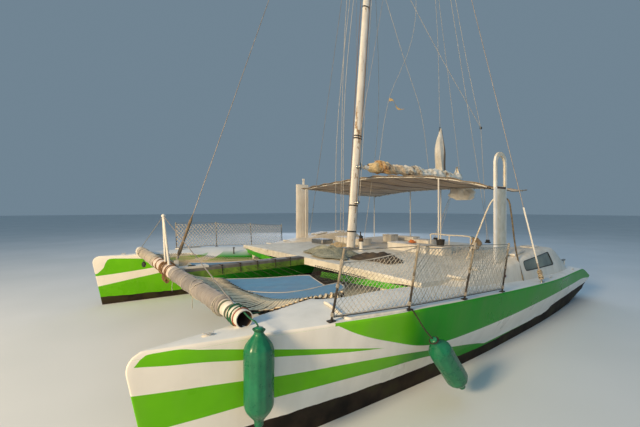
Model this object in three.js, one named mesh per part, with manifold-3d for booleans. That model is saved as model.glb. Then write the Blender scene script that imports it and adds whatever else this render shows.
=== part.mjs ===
// Open-deck sailing catamaran, 11.3 m long, with a raked mast, bridge deck, trampolines and sun canopy.
// Millimetres. +X runs to the bows, +Y to port, +Z up. The origin is on the waterline amidships.
import * as THREE from 'three';
import { mergeVertices } from 'three/addons/utils/BufferGeometryUtils.js';
import Module from 'manifold-3d';

const wasm = await Module();
wasm.setup();

// Driving dimensions
const stemFootX = 5400; // where the stem meets the water, forward of amidships
const hullLength = 11025; // from there to the end of the stern step
const hullCentreY = 3500; // half the spacing of the two hulls
const fit = 0.5; // gap kept between faces that rest on each other
const runningGap = 6; // widening of the slots that the daggerboards slide in

const beamX = stemFootX - 845;
const beamZ = 1352;
const beamRadius = 95;
const beamHalfLength = 3500;
const beamRecess = 320; // depth of the open end of the front beam

const deckFrontA = 3900; // forward edge of the bridge deck, measured aft from the stem foot
const deckAftA = 9720;
const deckTopZ = 1375; // bridge deck at the mast

const mastX = -150;
const mastRake = THREE.MathUtils.degToRad(5);
const mastHead = 18300; // mast length above its step
const houndsHeight = 17700; // where the stays meet the mast, along it
const mastStepHeight = 60;
const gooseneckZ = 3720;
const boomLength = 5380;

const chainplateA = 7000;
const boardA = 6360; // centre of the daggerboards, aft of the stem foot
const boardOffset = 120; // their distance outboard of the hulls' centre lines
const boardChord = 560;
const boardThickness = 75;
const boardTipZ = -400;
const rudderA = 10600;
const tillerLength = 430;
const tillerZ = 1045;

const canopyHalfWidth = 3400;
const canopyFrontA = { port: 6750, starboard: 6200 }; // front edge at its two ends, aft of the stem foot
const canopyAftA = { port: 8280, starboard: 10200 };
const canopyThickness = 24;
const railRadius = 16;

const xAt = (aft) => stemFootX - aft;

// Finishes
const finish = (color, roughness, metalness = 0) =>
  new THREE.MeshStandardMaterial({ color, roughness, metalness });
const gelcoat = finish('#e4dfd3', 0.35);
const deckPaint = finish('#dcd6c8', 0.6);
const sprayedAluminium = finish('#e8e4da', 0.45, 0.1);
const bareAluminium = finish('#a8a59c', 0.4, 0.9);
const stainless = finish('#b9b9b6', 0.25, 1);
const darkSteel = finish('#4a4640', 0.5, 0.7);
const wireRope = finish('#8c8a84', 0.4, 0.8);
const sailcloth = finish('#cfc7b5', 0.9);
const canopyCloth = finish('#9b8a74', 0.9);
const netting = finish('#d8d5cc', 0.85);
const fenderVinyl = finish('#1f8050', 0.3);
const acrylic = finish('#3b403e', 0.1);
const foilPaint = finish('#ded8ca', 0.4);

// Turning three.js meshes into solids and back
function toSolid(geometry) {
  const bare = geometry.clone();
  for (const name of Object.keys(bare.attributes)) {
    if (name !== 'position') bare.deleteAttribute(name);
  }
  const merged = mergeVertices(bare, 1e-3);
  const kept = [];
  for (let i = 0; i < merged.index.count; i += 3) {
    const [a, b, c] = [0, 1, 2].map((corner) => merged.index.getX(i + corner));
    if (a !== b && b !== c && c !== a) kept.push(a, b, c);
  }
  return new wasm.Manifold(new wasm.Mesh({
    numProp: 3,
    vertProperties: new Float32Array(merged.attributes.position.array),
    triVerts: new Uint32Array(kept),
  }));
}

function toGeometry(solid) {
  const mesh = solid.getMesh();
  const geometry = new THREE.BufferGeometry();
  geometry.setAttribute('position', new THREE.BufferAttribute(mesh.vertProperties, 3));
  geometry.setIndex(new THREE.BufferAttribute(mesh.triVerts, 1));
  const faceted = geometry.toNonIndexed();
  faceted.computeVertexNormals();
  return faceted;
}

const join = (...pieces) => pieces.slice(1).reduce((whole, piece) => whole.add(piece), pieces[0]);

// The largest body left by a cut, without the slivers
const largest = (solid) =>
  solid.decompose().sort((first, second) => second.volume() - first.volume())[0];

const boat = new THREE.Group();
function place(name, shape, material, parent = boat) {
  const geometry = shape.isBufferGeometry ? shape : toGeometry(shape);
  const mesh = new THREE.Mesh(geometry, material);
  mesh.name = name;
  parent.add(mesh);
  return mesh;
}

// Shapes
const point = (x, y, z) => new THREE.Vector3(x, y, z);

function closedMesh(vertices, triangles) {
  const geometry = new THREE.BufferGeometry();
  const numbers = vertices.flatMap((v) => v.toArray());
  geometry.setAttribute('position', new THREE.Float32BufferAttribute(numbers, 3));
  geometry.setIndex(triangles);
  return geometry;
}

// Skin through rings of equal point count, its ends closed by a fan about each end's mean point
function loft(rings) {
  const count = rings[0].length;
  const vertices = rings.flat();
  const triangles = [];
  for (let ring = 0; ring + 1 < rings.length; ring += 1) {
    for (let i = 0; i < count; i += 1) {
      const next = (i + 1) % count;
      const [a, b, c, d] = [ring * count + i, ring * count + next, (ring + 1) * count + next, (ring + 1) * count + i];
      triangles.push(a, b, c, a, c, d);
    }
  }
  for (const [ring, turn] of [[0, -1], [rings.length - 1, 1]]) {
    const hub = vertices.length;
    const middle = rings[ring].reduce((sum, v) => sum.clone().add(v), point(0, 0, 0)).divideScalar(count);
    vertices.push(middle);
    for (let i = 0; i < count; i += 1) {
      const next = (i + 1) % count;
      const pair = [ring * count + i, ring * count + next];
      if (turn < 0) pair.reverse();
      triangles.push(hub, pair[0], pair[1]);
    }
  }
  return outward(closedMesh(vertices, triangles));
}

// Turns the faces round if the mesh encloses a negative volume
function outward(geometry) {
  const { position } = geometry.attributes;
  const index = geometry.index.array;
  const [a, b, c] = [point(0, 0, 0), point(0, 0, 0), point(0, 0, 0)];
  let volume = 0;
  for (let i = 0; i < index.length; i += 3) {
    a.fromBufferAttribute(position, index[i]);
    b.fromBufferAttribute(position, index[i + 1]);
    c.fromBufferAttribute(position, index[i + 2]);
    volume += a.dot(b.cross(c));
  }
  if (volume < 0) {
    for (let i = 0; i < index.length; i += 3) [index[i], index[i + 1]] = [index[i + 1], index[i]];
  }
  return geometry;
}

// Sheet of even thickness over a grid of points given by surface(u, v), both from 0 to 1
function sheet(surface, across, along, thickness) {
  const top = [];
  for (let i = 0; i <= along; i += 1) {
    for (let j = 0; j <= across; j += 1) top.push(surface(j / across, i / along));
  }
  const vertices = [...top, ...top.map((v) => v.clone().setZ(v.z - thickness))];
  const width = across + 1;
  const under = top.length;
  const triangles = [];
  const quad = (a, b, c, d) => triangles.push(a, b, c, a, c, d);
  for (let i = 0; i < along; i += 1) {
    for (let j = 0; j < across; j += 1) {
      const a = i * width + j;
      quad(a, a + 1, a + width + 1, a + width);
      quad(under + a, under + a + width, under + a + width + 1, under + a + 1);
    }
  }
  for (let j = 0; j < across; j += 1) {
    const last = along * width + j;
    quad(j, under + j, under + j + 1, j + 1);
    quad(last, last + 1, under + last + 1, under + last);
  }
  for (let i = 0; i < along; i += 1) {
    const left = i * width;
    const right = left + across;
    quad(left, left + width, under + left + width, under + left);
    quad(right, under + right, under + right + width, right + width);
  }
  return outward(closedMesh(vertices, triangles));
}

function box(length, width, height, x, y, z) {
  return new THREE.BoxGeometry(length, width, height).translate(x, y, z);
}

// Round bar between two points
function bar(from, to, radius, sides = 10, radiusAtEnd = radius) {
  const run = to.clone().sub(from);
  const geometry = new THREE.CylinderGeometry(radiusAtEnd, radius, run.length(), sides);
  geometry.rotateX(Math.PI / 2);
  const turn = new THREE.Quaternion().setFromUnitVectors(point(0, 0, 1), run.clone().normalize());
  geometry.applyQuaternion(turn);
  const middle = from.clone().add(to).multiplyScalar(0.5);
  return geometry.translate(middle.x, middle.y, middle.z);
}

// Round tube along a smooth curve through points
function tube(points, radius, steps = 24, sides = 8) {
  const section = new THREE.Shape();
  section.absarc(0, 0, radius, 0, Math.PI * 2);
  const route = new THREE.CatmullRomCurve3(points, false, 'centripetal');
  return new THREE.ExtrudeGeometry(section, { steps, curveSegments: sides / 2, extrudePath: route });
}

// Upright prism from an outline in plan
function prism(outline, fromZ, toZ) {
  const geometry = new THREE.ExtrudeGeometry(outline, { depth: toZ - fromZ, bevelEnabled: false, curveSegments: 6 });
  return geometry.translate(0, 0, fromZ);
}

function mirrored(geometry) {
  const copy = mergeVertices(geometry.clone());
  copy.scale(1, -1, 1);
  const index = copy.index.array;
  for (let i = 0; i < index.length; i += 3) [index[i], index[i + 1]] = [index[i + 1], index[i]];
  return copy;
}

// Value of a table's column at a place along it, smooth and with no overshoot
function reading(table, column, place) {
  const last = table.length - 1;
  if (place <= table[0].at) return table[0][column];
  if (place >= table[last].at) return table[last][column];
  const slope = (i) => (table[i + 1][column] - table[i][column]) / (table[i + 1].at - table[i].at);
  const lean = (i) => {
    if (i === 0) return slope(0);
    if (i === last) return slope(last - 1);
    const [before, after] = [slope(i - 1), slope(i)];
    return before * after <= 0 ? 0 : (2 * before * after) / (before + after);
  };
  const i = table.findIndex((row, k) => k < last && place < table[k + 1].at);
  const run = table[i + 1].at - table[i].at;
  const t = (place - table[i].at) / run;
  const [here, next] = [table[i][column], table[i + 1][column]];
  return (2 * t ** 3 - 3 * t ** 2 + 1) * here + (t ** 3 - 2 * t ** 2 + t) * run * lean(i)
    + (3 * t ** 2 - 2 * t ** 3) * next + (t ** 3 - t ** 2) * run * lean(i + 1);
}

const table = (columns, rows) =>
  rows.map((row) => Object.fromEntries(columns.map((column, i) => [column, row[i]])));

// Hull lines: heights of sheer, chine, boot top and keel, and the half breadths of the first three
const hullLines = table(['at', 'sheer', 'deckHalf', 'chine', 'chineHalf', 'boot', 'bootHalf', 'keel'], [
  [0, 1275, 14, 800, 13, 240, 12, -100],
  [400, 1268, 95, 792, 84, 240, 62, -230],
  [840, 1257, 178, 780, 158, 240, 115, -300],
  [1700, 1252, 430, 740, 345, 235, 205, -380],
  [2775, 1240, 665, 680, 520, 230, 300, -430],
  [3925, 1180, 712, 635, 625, 232, 385, -450],
  [5500, 1085, 718, 612, 640, 240, 440, -450],
  [7500, 990, 705, 620, 612, 262, 452, -390],
  [9500, 945, 600, 645, 545, 305, 410, -220],
  [9950, 936, 575, 648, 520, 320, 400, -150],
  [11025, 650, 480, 560, 462, 340, 365, 70],
]);
const stemSlope = 0.19; // forward lean of the stem, run over rise
const stemCorner = 190; // radius of the rounded top of the bow
const deckEdge = 26;
const hullStations = [0, 120, 400, 840, 1270, 1700, 2240, 2775, 3350, 3925, 4700, 5500, 6500, 7500, 8500, 9500,
  9950, 10500, hullLength];

function hullSection(at, grow = 0) {
  const line = (column) => reading(hullLines, column, at);
  const [sheer, deckHalf] = [line('sheer') + grow, line('deckHalf') + grow];
  const [chine, chineHalf] = [line('chine'), line('chineHalf') + grow];
  const [boot, bootHalf, keel] = [line('boot'), line('bootHalf') + grow, line('keel') - grow];
  const crown = Math.min(45, deckHalf * 0.08);
  const edge = Math.min(deckEdge, deckHalf * 0.4);
  const half = [];
  for (let step = 0; step <= 5; step += 1) {
    const turn = (step / 5) * (Math.PI / 2);
    half.push([bootHalf * Math.sin(turn), boot - (boot - keel) * Math.cos(turn)]);
  }
  half.push([chineHalf, chine]);
  for (const drop of [stemCorner, stemCorner * 0.5]) {
    const share = (sheer - drop - chine) / (sheer - edge - chine);
    half.push([chineHalf + (deckHalf - chineHalf) * share, sheer - drop]);
  }
  half.push([deckHalf, sheer - edge], [deckHalf - edge * 0.3, sheer - edge * 0.3]);
  half.push([deckHalf - edge, sheer], [deckHalf * 0.5, sheer + crown * 0.75], [0, sheer + crown]);
  const raked = ([y, z]) => {
    const rise = Math.max(0, z - (line('sheer') - stemCorner));
    const corner = stemCorner - Math.sqrt(Math.max(0, stemCorner ** 2 - Math.min(rise, stemCorner) ** 2));
    const lean = -stemSlope * z * Math.max(0, 1 - at / 2500);
    const sternLean = at > 9950 ? Math.min(0, z - 650) * 0.45 * ((at - 9950) / 1075) : 0;
    return point(xAt(at + lean + corner * Math.max(0, 1 - at / 1200) ** 2 + sternLean), y, z);
  };
  const port = half.map(raked);
  const starboard = half.slice(1, -1).reverse().map(([y, z]) => raked([-y, z]));
  return [...port, ...starboard];
}
const hullLoft = (grow) => toSolid(loft(hullStations.map((at) => hullSection(at, grow))));

// Daggerboard and rudder sections: a symmetric foil, leading edge forward
function foilOutline(chord, thickness, centreX) {
  const outline = new THREE.Shape();
  const steps = 8;
  const side = [];
  for (let i = 0; i <= steps; i += 1) {
    const u = (1 - Math.cos((i / steps) * Math.PI)) / 2;
    const half = thickness * 1.48 * (Math.sqrt(u) - 0.42 * u - 1.172 * u ** 2 + 0.949 * u ** 3 - 0.345 * u ** 4);
    side.push([centreX + chord * (0.5 - u), Math.max(half, thickness * 0.04)]);
  }
  outline.moveTo(side[0][0], side[0][1]);
  side.slice(1).forEach(([x, y]) => outline.lineTo(x, y));
  side.reverse().forEach(([x, y]) => outline.lineTo(x, -y));
  return outline;
}

const boardX = xAt(boardA);
const slotOutline = foilOutline(boardChord + 2 * runningGap, boardThickness + 2 * runningGap, boardX);
const slotBlank = toSolid(prism(slotOutline, -900, 2400));
const boardSlot = (side) => slotBlank.translate([0, side * boardOffset, 0]);
const stockRadius = 24;
const stockBore = toSolid(bar(point(xAt(rudderA), 0, -500), point(xAt(rudderA), 0, 1300), stockRadius + 0.6, 16));
const beamSaddle = toSolid(bar(point(beamX, -2000, beamZ), point(beamX, 2000, beamZ), beamRadius + fit, 24));

// Coachroof along each hull: its rise above the deck and half widths at foot and top
const coachroofLines = table(['at', 'top', 'footHalf', 'topHalf'], [
  [4450, 1190, 240, 150],
  [5000, 1265, 330, 240],
  [6250, 1420, 430, 320],
  [7750, 1580, 470, 330],
  [8500, 1585, 465, 320],
  [9150, 1330, 440, 300],
  [9780, 1000, 400, 260],
]);
const coachroofStations = [4450, 5000, 5600, 6250, 7000, 7750, 8150, 8500, 8800, 9150, 9780];
const roofThickness = 30;
const roofFootZ = 880;

function coachroofSection(at, grow) {
  const [top, footHalf, topHalf] = ['top', 'footHalf', 'topHalf'].map((c) => reading(coachroofLines, c, at) + grow);
  const shoulder = 40;
  const half = [[footHalf, roofFootZ - 120], [footHalf, roofFootZ], [topHalf + shoulder * 0.6, top - shoulder * 1.6],
    [topHalf, top - shoulder * 0.6], [topHalf - shoulder, top - shoulder * 0.2], [topHalf * 0.4, top]];
  const port = half.map(([y, z]) => point(xAt(at), y, z));
  const starboard = half.map(([y, z]) => point(xAt(at), -y, z)).reverse();
  return [...port, ...starboard];
}
const coachroofLoft = (grow, stations = coachroofStations) =>
  toSolid(loft(stations.map((at) => coachroofSection(at, grow))));

// Side window: a slanting trapezoid cut through the outboard wall, corners as distance aft and height
const windowCorners = [[6890, 1215], [8420, 1195], [8230, 1500], [6840, 1410]];
const paneShare = 0.995; // size of the pane against its opening
function windowPrism(share) {
  const outline = new THREE.Shape();
  const middle = windowCorners.reduce((sum, [a, z]) => [sum[0] + a / 4, sum[1] + z / 4], [0, 0]);
  windowCorners.forEach(([a, z], i) => {
    const corner = [xAt(middle[0] + (a - middle[0]) * share), middle[1] + (z - middle[1]) * share];
    if (i === 0) outline.moveTo(...corner);
    else outline.lineTo(...corner);
  });
  outline.closePath();
  const [innerY, outerY] = [150, 700];
  const geometry = new THREE.ExtrudeGeometry(outline, { depth: outerY - innerY, bevelEnabled: false });
  geometry.rotateX(Math.PI / 2);
  return geometry.translate(0, outerY, 0);
}

// Companionway hatch on each coachroof, hinged along its aft edge
const hatch = { aft: 7080, length: 500, width: 420, thickness: 36 };

// The two hulls with what belongs to each
const sides = [['port', 1], ['starboard', -1]];
const grownHull = hullLoft(fit);
const hullSolid = (side) =>
  largest(hullLoft(0).subtract(boardSlot(side)).subtract(stockBore).subtract(beamSaddle));
const roofTopAt = (aft) => reading(coachroofLines, 'top', aft);
const [hatchFrontZ, hatchBackZ] = [-1, 1].map((end) => roofTopAt(hatch.aft + end * (hatch.length / 2)));
const hatchPitch = Math.atan2(hatchBackZ - hatchFrontZ, hatch.length);
const onRoof = (geometry) =>
  geometry.rotateY(hatchPitch).translate(xAt(hatch.aft), 0, (hatchFrontZ + hatchBackZ) / 2);
const coamingHeight = 12;
const hatchFrame = (height, margin) => toSolid(onRoof(box(hatch.length - margin, hatch.width - margin, height,
  0, 0, coamingHeight - fit - height / 2)));
const hatchHole = hatchFrame(400, 70).translate([0, 0, 150]);
const coamed = (roof, grow) => roof.add(hatchFrame(60 + 2 * grow, 10 - 2 * grow));
const grownRoof = coamed(coachroofLoft(fit), fit);
const roofCavity = coachroofLoft(-roofThickness, [4750, ...coachroofStations.slice(1, -1), 9700]);
const roofShell = (side) => {
  const windowHole = side > 0 ? windowPrism(1) : mirrored(windowPrism(1));
  const open = [roofCavity, grownHull, boardSlot(side), toSolid(windowHole), hatchHole];
  return largest(open.reduce((shell, cut) => shell.subtract(cut), coamed(coachroofLoft(0), 0)));
};

for (const [sideName, side] of sides) {
  const hullGroup = new THREE.Group();
  hullGroup.position.y = side * hullCentreY;
  boat.add(hullGroup);
  place(`${sideName}_hull`, hullSolid(side), gelcoat, hullGroup);
  place(`${sideName}_coachroof`, roofShell(side), gelcoat, hullGroup);

  const paneBlank = windowPrism(paneShare);
  const paneSkin = coachroofLoft(-6).subtract(coachroofLoft(-14));
  const pane = largest(toSolid(side > 0 ? paneBlank : mirrored(paneBlank)).intersect(paneSkin));
  place(`${sideName}_window`, pane, acrylic, hullGroup);

  const barrelX = -hatch.length / 2 - 6;
  const lid = join(
    toSolid(box(hatch.length, hatch.width, hatch.thickness, 0, 0, coamingHeight + hatch.thickness / 2)),
    toSolid(bar(point(barrelX, -hatch.width * 0.4, 28), point(barrelX, hatch.width * 0.4, 28), 12)),
  );
  place(`${sideName}_companion_hatch`, onRoof(toGeometry(lid)), gelcoat, hullGroup);
}

// Bridge deck between the hulls, and its wings that lie on the inboard half of each hull's deck
const deckLines = table(['at', 'top', 'sideTop'], [
  [deckFrontA, 1318, 1300],
  [5000, deckTopZ, 1255],
  [6500, deckTopZ, 1240],
  [deckAftA, deckTopZ, 1120],
]);
const deckDepth = 170;
const deckFlatHalf = 2450;
const deckTopAt = (aft, y) => {
  const [top, sideTop] = [reading(deckLines, 'top', aft), reading(deckLines, 'sideTop', aft)];
  const outboard = Math.max(0, Math.abs(y) - deckFlatHalf) / (hullCentreY - deckFlatHalf);
  return top + (sideTop - top) * outboard;
};
const kneeStartY = 2750;
const wingEndY = hullCentreY - 20;
const wingDepth = 400;
const deckStations = [deckFrontA, 4400, 5000, 6500, 8200, deckAftA];
// One ring for each station, through points given as distance off the centre line and drop below the deck,
// where a drop of nothing lies on the deck's top
const deckLoft = (points, grow) => toSolid(loft(deckStations.map((station, i) => {
  const aft = station + grow * ((i === deckStations.length - 1) - (i === 0));
  return points.map(([y, drop]) => point(xAt(aft), y,
    (drop ? reading(deckLines, 'top', aft) - drop - grow : deckTopAt(aft, y) + grow)));
})));
const centrePoints = (grow) => [[-deckFlatHalf - grow, deckDepth], [deckFlatHalf + grow, deckDepth],
  [deckFlatHalf + grow, 0], [-deckFlatHalf - grow, 0]];
const wingPoints = (grow) => [[deckFlatHalf + fit - grow, deckDepth], [kneeStartY - grow, wingDepth],
  [wingEndY, wingDepth], [wingEndY, 0], [deckFlatHalf + fit - grow, 0]];
const wingLoft = (side, grow) => (side > 0 ? deckLoft(wingPoints(grow), grow)
  : toSolid(mirrored(toGeometry(deckLoft(wingPoints(grow), grow)))));
const grownDeck = join(deckLoft(centrePoints(fit), fit), ...sides.map(([, side]) => wingLoft(side, fit)));
const crossbeamTable = table(['name', 'x', 'width', 'height'], [
  ['main_crossbeam', mastX, 320, 230],
  ['aft_crossbeam', xAt(9450), 240, 190],
]);
const neighbours = sides.flatMap(([, side]) => [grownHull, grownRoof].map((solid) =>
  solid.translate([0, side * hullCentreY, 0])));
const clearOf = (solid, cuts) => largest(cuts.reduce((rest, cut) => rest.subtract(cut), solid));
place('bridge_deck', deckLoft(centrePoints(0), 0), deckPaint);
for (const [sideName, side] of sides) {
  place(`${sideName}_wing_deck`, clearOf(wingLoft(side, 0), neighbours), deckPaint);
}

// Beams below the deck butt against the inboard sides of the hulls
for (const { name, x, width, height } of crossbeamTable) {
  const top = deckTopZ - deckDepth;
  const beam = toSolid(box(width, 2 * hullCentreY, height, x, 0, top - height / 2));
  place(name, clearOf(beam, [...neighbours, grownDeck]), gelcoat);
}

// Front crossbeam: a tube whose open ends show
const beamEnd = (y) => point(beamX, y, beamZ);
const beamTube = toSolid(bar(beamEnd(-beamHalfLength), beamEnd(beamHalfLength), beamRadius, 24));
const beamBores = sides.map(([, side]) => toSolid(bar(beamEnd(side * (beamHalfLength - beamRecess)),
  beamEnd(side * (beamHalfLength + 40)), beamRadius - 9, 24)));
place('front_crossbeam', beamBores.reduce((rest, cut) => rest.subtract(cut), beamTube), sprayedAluminium);
const grownBeam = toSolid(bar(beamEnd(-beamHalfLength - 5), beamEnd(beamHalfLength + 5), beamRadius + fit, 24));

// Centre spine from the front beam to the bridge deck
const spine = { width: 240, topZ: 1330, depth: 190 };
const spineLength = beamX - xAt(deckFrontA) - fit;
const spineBlank = toSolid(box(spineLength, spine.width, spine.depth,
  xAt(deckFrontA) + fit + spineLength / 2, 0, spine.topZ - spine.depth / 2));
place('centre_spine', clearOf(spineBlank, [grownBeam]), bareAluminium);

// Tapered plate on the spine that takes the foot of the forestay
const stayFoot = point(4410, 0, 1485);
const noseOutline = new THREE.Shape();
[[4440, -70], [4440, 70], [3820, 115], [3820, -115]].forEach(([x, y], i) =>
  (i ? noseOutline.lineTo(x, y) : noseOutline.moveTo(x, y)));
noseOutline.closePath();
const noseEar = toSolid(box(80, 22, 150, stayFoot.x, 0, spine.topZ + 100));
place('forestay_bracket', join(toSolid(prism(noseOutline, spine.topZ + fit, spine.topZ + 40)), noseEar),
  sprayedAluminium);

// Striker: two tubes on the beam, leaning to one head, with a wire to each end of the beam
const strikerHead = point(4640, 0, 2370);
const strikerFootY = 165;
const strikerLegs = sides.map(([, side]) =>
  toSolid(bar(point(beamX + 8, side * strikerFootY, beamZ), strikerHead, 24, 12)));
const strikerCap = toSolid(new THREE.SphereGeometry(38, 12, 8).translate(...strikerHead.toArray()));
place('seagull_striker', clearOf(join(...strikerLegs, strikerCap), [grownBeam]), sprayedAluminium);
const grownCap = toSolid(new THREE.SphereGeometry(38 + fit, 12, 8).translate(...strikerHead.toArray()));
for (const [sideName, side] of sides) {
  const wire = toSolid(bar(strikerHead, point(beamX, side * 3330, beamZ + 60), 7, 6));
  place(`${sideName}_striker_wire`, clearOf(wire, [grownCap, grownBeam]), wireRope);
}

// Mast, raked aft, built upright in its own group
const stepZ = deckTopZ + mastStepHeight;
const mastGroup = new THREE.Group();
mastGroup.position.set(mastX, 0, stepZ);
mastGroup.rotation.y = -mastRake;
boat.add(mastGroup);
const mastPoint = (along, forward = 0, y = 0) => point(
  mastX - along * Math.sin(mastRake) + forward * Math.cos(mastRake), y,
  stepZ + along * Math.cos(mastRake) + forward * Math.sin(mastRake));
const mastHalfChord = 150;
const mastHalfWidth = 84;
const spreader = { along: 9300, reach: 820, sweep: 190 };
const mastSizes = table(['at', 'scale'], [[0.5, 1], [7000, 0.84], [15200, 0.8], [mastHead, 0.62]]);
const mastRings = mastSizes.map(({ at, scale }) => Array.from({ length: 16 }, (_, i) => {
  const turn = (i / 16) * Math.PI * 2;
  return point(mastHalfChord * scale * Math.cos(turn), mastHalfWidth * scale * Math.sin(turn), at);
}));
const spreaderTubes = sides.map(([, side]) => toSolid(bar(point(0, 0, spreader.along),
  point(-spreader.sweep, side * spreader.reach, spreader.along + 40), 26, 8, 15)));
const masthead = toSolid(box(420, 70, 50, -60, 0, mastHead + 20));
place('mast', join(toSolid(loft(mastRings)), ...spreaderTubes, masthead), sprayedAluminium, mastGroup);
const stepWedge = toSolid(box(420, 300, mastStepHeight - fit, mastX, 0, deckTopZ + fit / 2 + mastStepHeight / 2));
const grownFoot = toSolid(box(700, 500, 400, 0, 0, 200).rotateY(-mastRake).translate(mastX, 0, stepZ));
place('mast_step', clearOf(stepWedge, [grownFoot]), bareAluminium);

// Standing rigging, with its turnbuckles, ending on the mast and on its chainplates
const grownMast = toSolid(loft(mastSizes.map(({ at, scale }) => Array.from({ length: 16 }, (_, i) => {
  const turn = (i / 16) * Math.PI * 2;
  return point((mastHalfChord * scale + fit) * Math.cos(turn), (mastHalfWidth * scale + fit) * Math.sin(turn), at);
}))).rotateY(-mastRake).translate(mastX, 0, stepZ));
const stayRadius = 8;
const screwLength = 420;
function stay(from, to, cuts) {
  const heading = to.clone().sub(from).normalize();
  const screwEnd = from.clone().add(heading.clone().multiplyScalar(screwLength));
  const wire = toSolid(bar(from, to, stayRadius, 6));
  const screw = toSolid(bar(from.clone().add(heading.clone().multiplyScalar(60)), screwEnd, 22, 8, 16));
  return clearOf(join(wire, screw), cuts);
}
const noseSolid = toSolid(box(80 + 2 * fit, 22 + 2 * fit, 150 + 2 * fit, stayFoot.x, 0, spine.topZ + 100));
place('forestay', stay(stayFoot, mastPoint(houndsHeight, 60), [grownMast, noseSolid]), wireRope);
for (const [sideName, side] of sides) {
  const deckHalf = reading(hullLines, 'deckHalf', chainplateA);
  const plateZ = reading(hullLines, 'sheer', chainplateA) + 4;
  const plate = point(xAt(chainplateA), side * (hullCentreY + deckHalf - 60), plateZ);
  place(`${sideName}_shroud`, stay(plate, mastPoint(houndsHeight, 0, side * 40), [grownMast, ...neighbours]),
    wireRope);
  const tip = mastPoint(spreader.along + 40, -spreader.sweep, side * (spreader.reach + 12));
  const diamond = [mastPoint(15800, 0, side * 40), tip, mastPoint(2900, 0, side * 40)];
  const wires = join(toSolid(bar(diamond[0], tip, 5, 6)), toSolid(bar(tip, diamond[2], 5, 6)),
    toSolid(new THREE.SphereGeometry(9, 8, 6).translate(...tip.toArray())));
  const spreaderSpace = toSolid(bar(mastPoint(spreader.along, 0, 0),
    mastPoint(spreader.along + 40, -spreader.sweep, side * spreader.reach), 26 + fit, 8, 15 + fit));
  place(`${sideName}_diamond_wire`, clearOf(wires, [grownMast, spreaderSpace]), wireRope);
}

// Gooseneck on the mast and the boom that turns on its pin, parallel to the mast
const pinAlong = (gooseneckZ - stepZ) / Math.cos(mastRake);
const pinForward = -mastHalfChord * reading(mastSizes, 'scale', pinAlong) - 75;
const pinAt = mastPoint(pinAlong, pinForward);
const pinRadius = 16;
const raked = (geometry) => geometry.rotateY(-mastRake).translate(pinAt.x, 0, pinAt.z);
const gooseParts = [box(14, 90, 220, 75 - 8, 0, 0), box(96, 76, 12, 28, 0, 62), box(96, 76, 12, 28, 0, -62),
  bar(point(0, 0, -66), point(0, 0, 66), pinRadius, 16)];
place('gooseneck', clearOf(join(...gooseParts.map((g) => toSolid(raked(g)))), [grownMast]), stainless);
const boomRadius = 62;
const boomAxis = (along) => point(-along * Math.cos(mastRake), 0, along * Math.sin(mastRake));
const boomEye = toSolid(bar(point(0, 0, -55), point(0, 0, 55), 34, 16));
const boomNeck = toSolid(bar(boomAxis(20), boomAxis(150), 26, 12));
const boomSpar = toSolid(bar(boomAxis(110), boomAxis(boomLength), boomRadius, 14));
const pinHole = toSolid(bar(point(0, 0, -80), point(0, 0, 80), pinRadius + 0.6, 16));
const boomSolid = join(boomEye, boomNeck, boomSpar).subtract(pinHole);
place('boom', raked(toGeometry(boomSolid)), sprayedAluminium);

// Sail furled along the boom and its head, hoisted a little way
const bundleLines = table(['at', 'half', 'low', 'high'], [
  [260, 90, 75, 130],
  [600, 150, 105, 235],
  [1500, 165, 105, 225],
  [2600, 170, 105, 215],
  [3600, 175, 105, 220],
  [4600, 160, 105, 200],
  [5250, 90, 80, 160],
]);
const bundleRings = bundleLines.map(({ at, half, low, high }) => Array.from({ length: 14 }, (_, i) => {
  const turn = (i / 14) * Math.PI * 2;
  const reach = Math.sin(turn) > 0 ? high : low;
  return point(pinAt.x - at, half * Math.cos(turn), pinAt.z + reach * Math.sin(turn));
}));
const boomSpace = toSolid(bar(point(pinAt.x + 100, 0, pinAt.z), point(pinAt.x - boomLength - 100, 0, pinAt.z),
  boomRadius + fit, 14));
place('furled_mainsail', largest(toSolid(loft(bundleRings)).subtract(boomSpace)), sailcloth);
const headLines = table(['at', 'forward', 'aft', 'half'], [
  [3930, 330, 330, 110],
  [4300, 250, 290, 95],
  [4800, 150, 210, 70],
  [5200, 60, 110, 40],
  [5420, 20, 40, 20],
]);
const headX = -4500;
const bundleSpace = toSolid(loft(bundleRings.map((ring) => ring.map((v) =>
  v.clone().setZ(v.z + (v.z > pinAt.z ? fit * 2 : 0))))));
const headRings = headLines.map(({ at, forward, aft, half }) => Array.from({ length: 10 }, (_, i) => {
  const turn = (i / 10) * Math.PI * 2;
  return point(headX + (Math.cos(turn) > 0 ? forward : aft) * Math.cos(turn), half * Math.sin(turn), at);
}));
headRings.unshift(headRings[0].map((v) => v.clone().setZ(3850)));
place('mainsail_head', clearOf(toSolid(loft(headRings)), [bundleSpace]), sailcloth);

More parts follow.
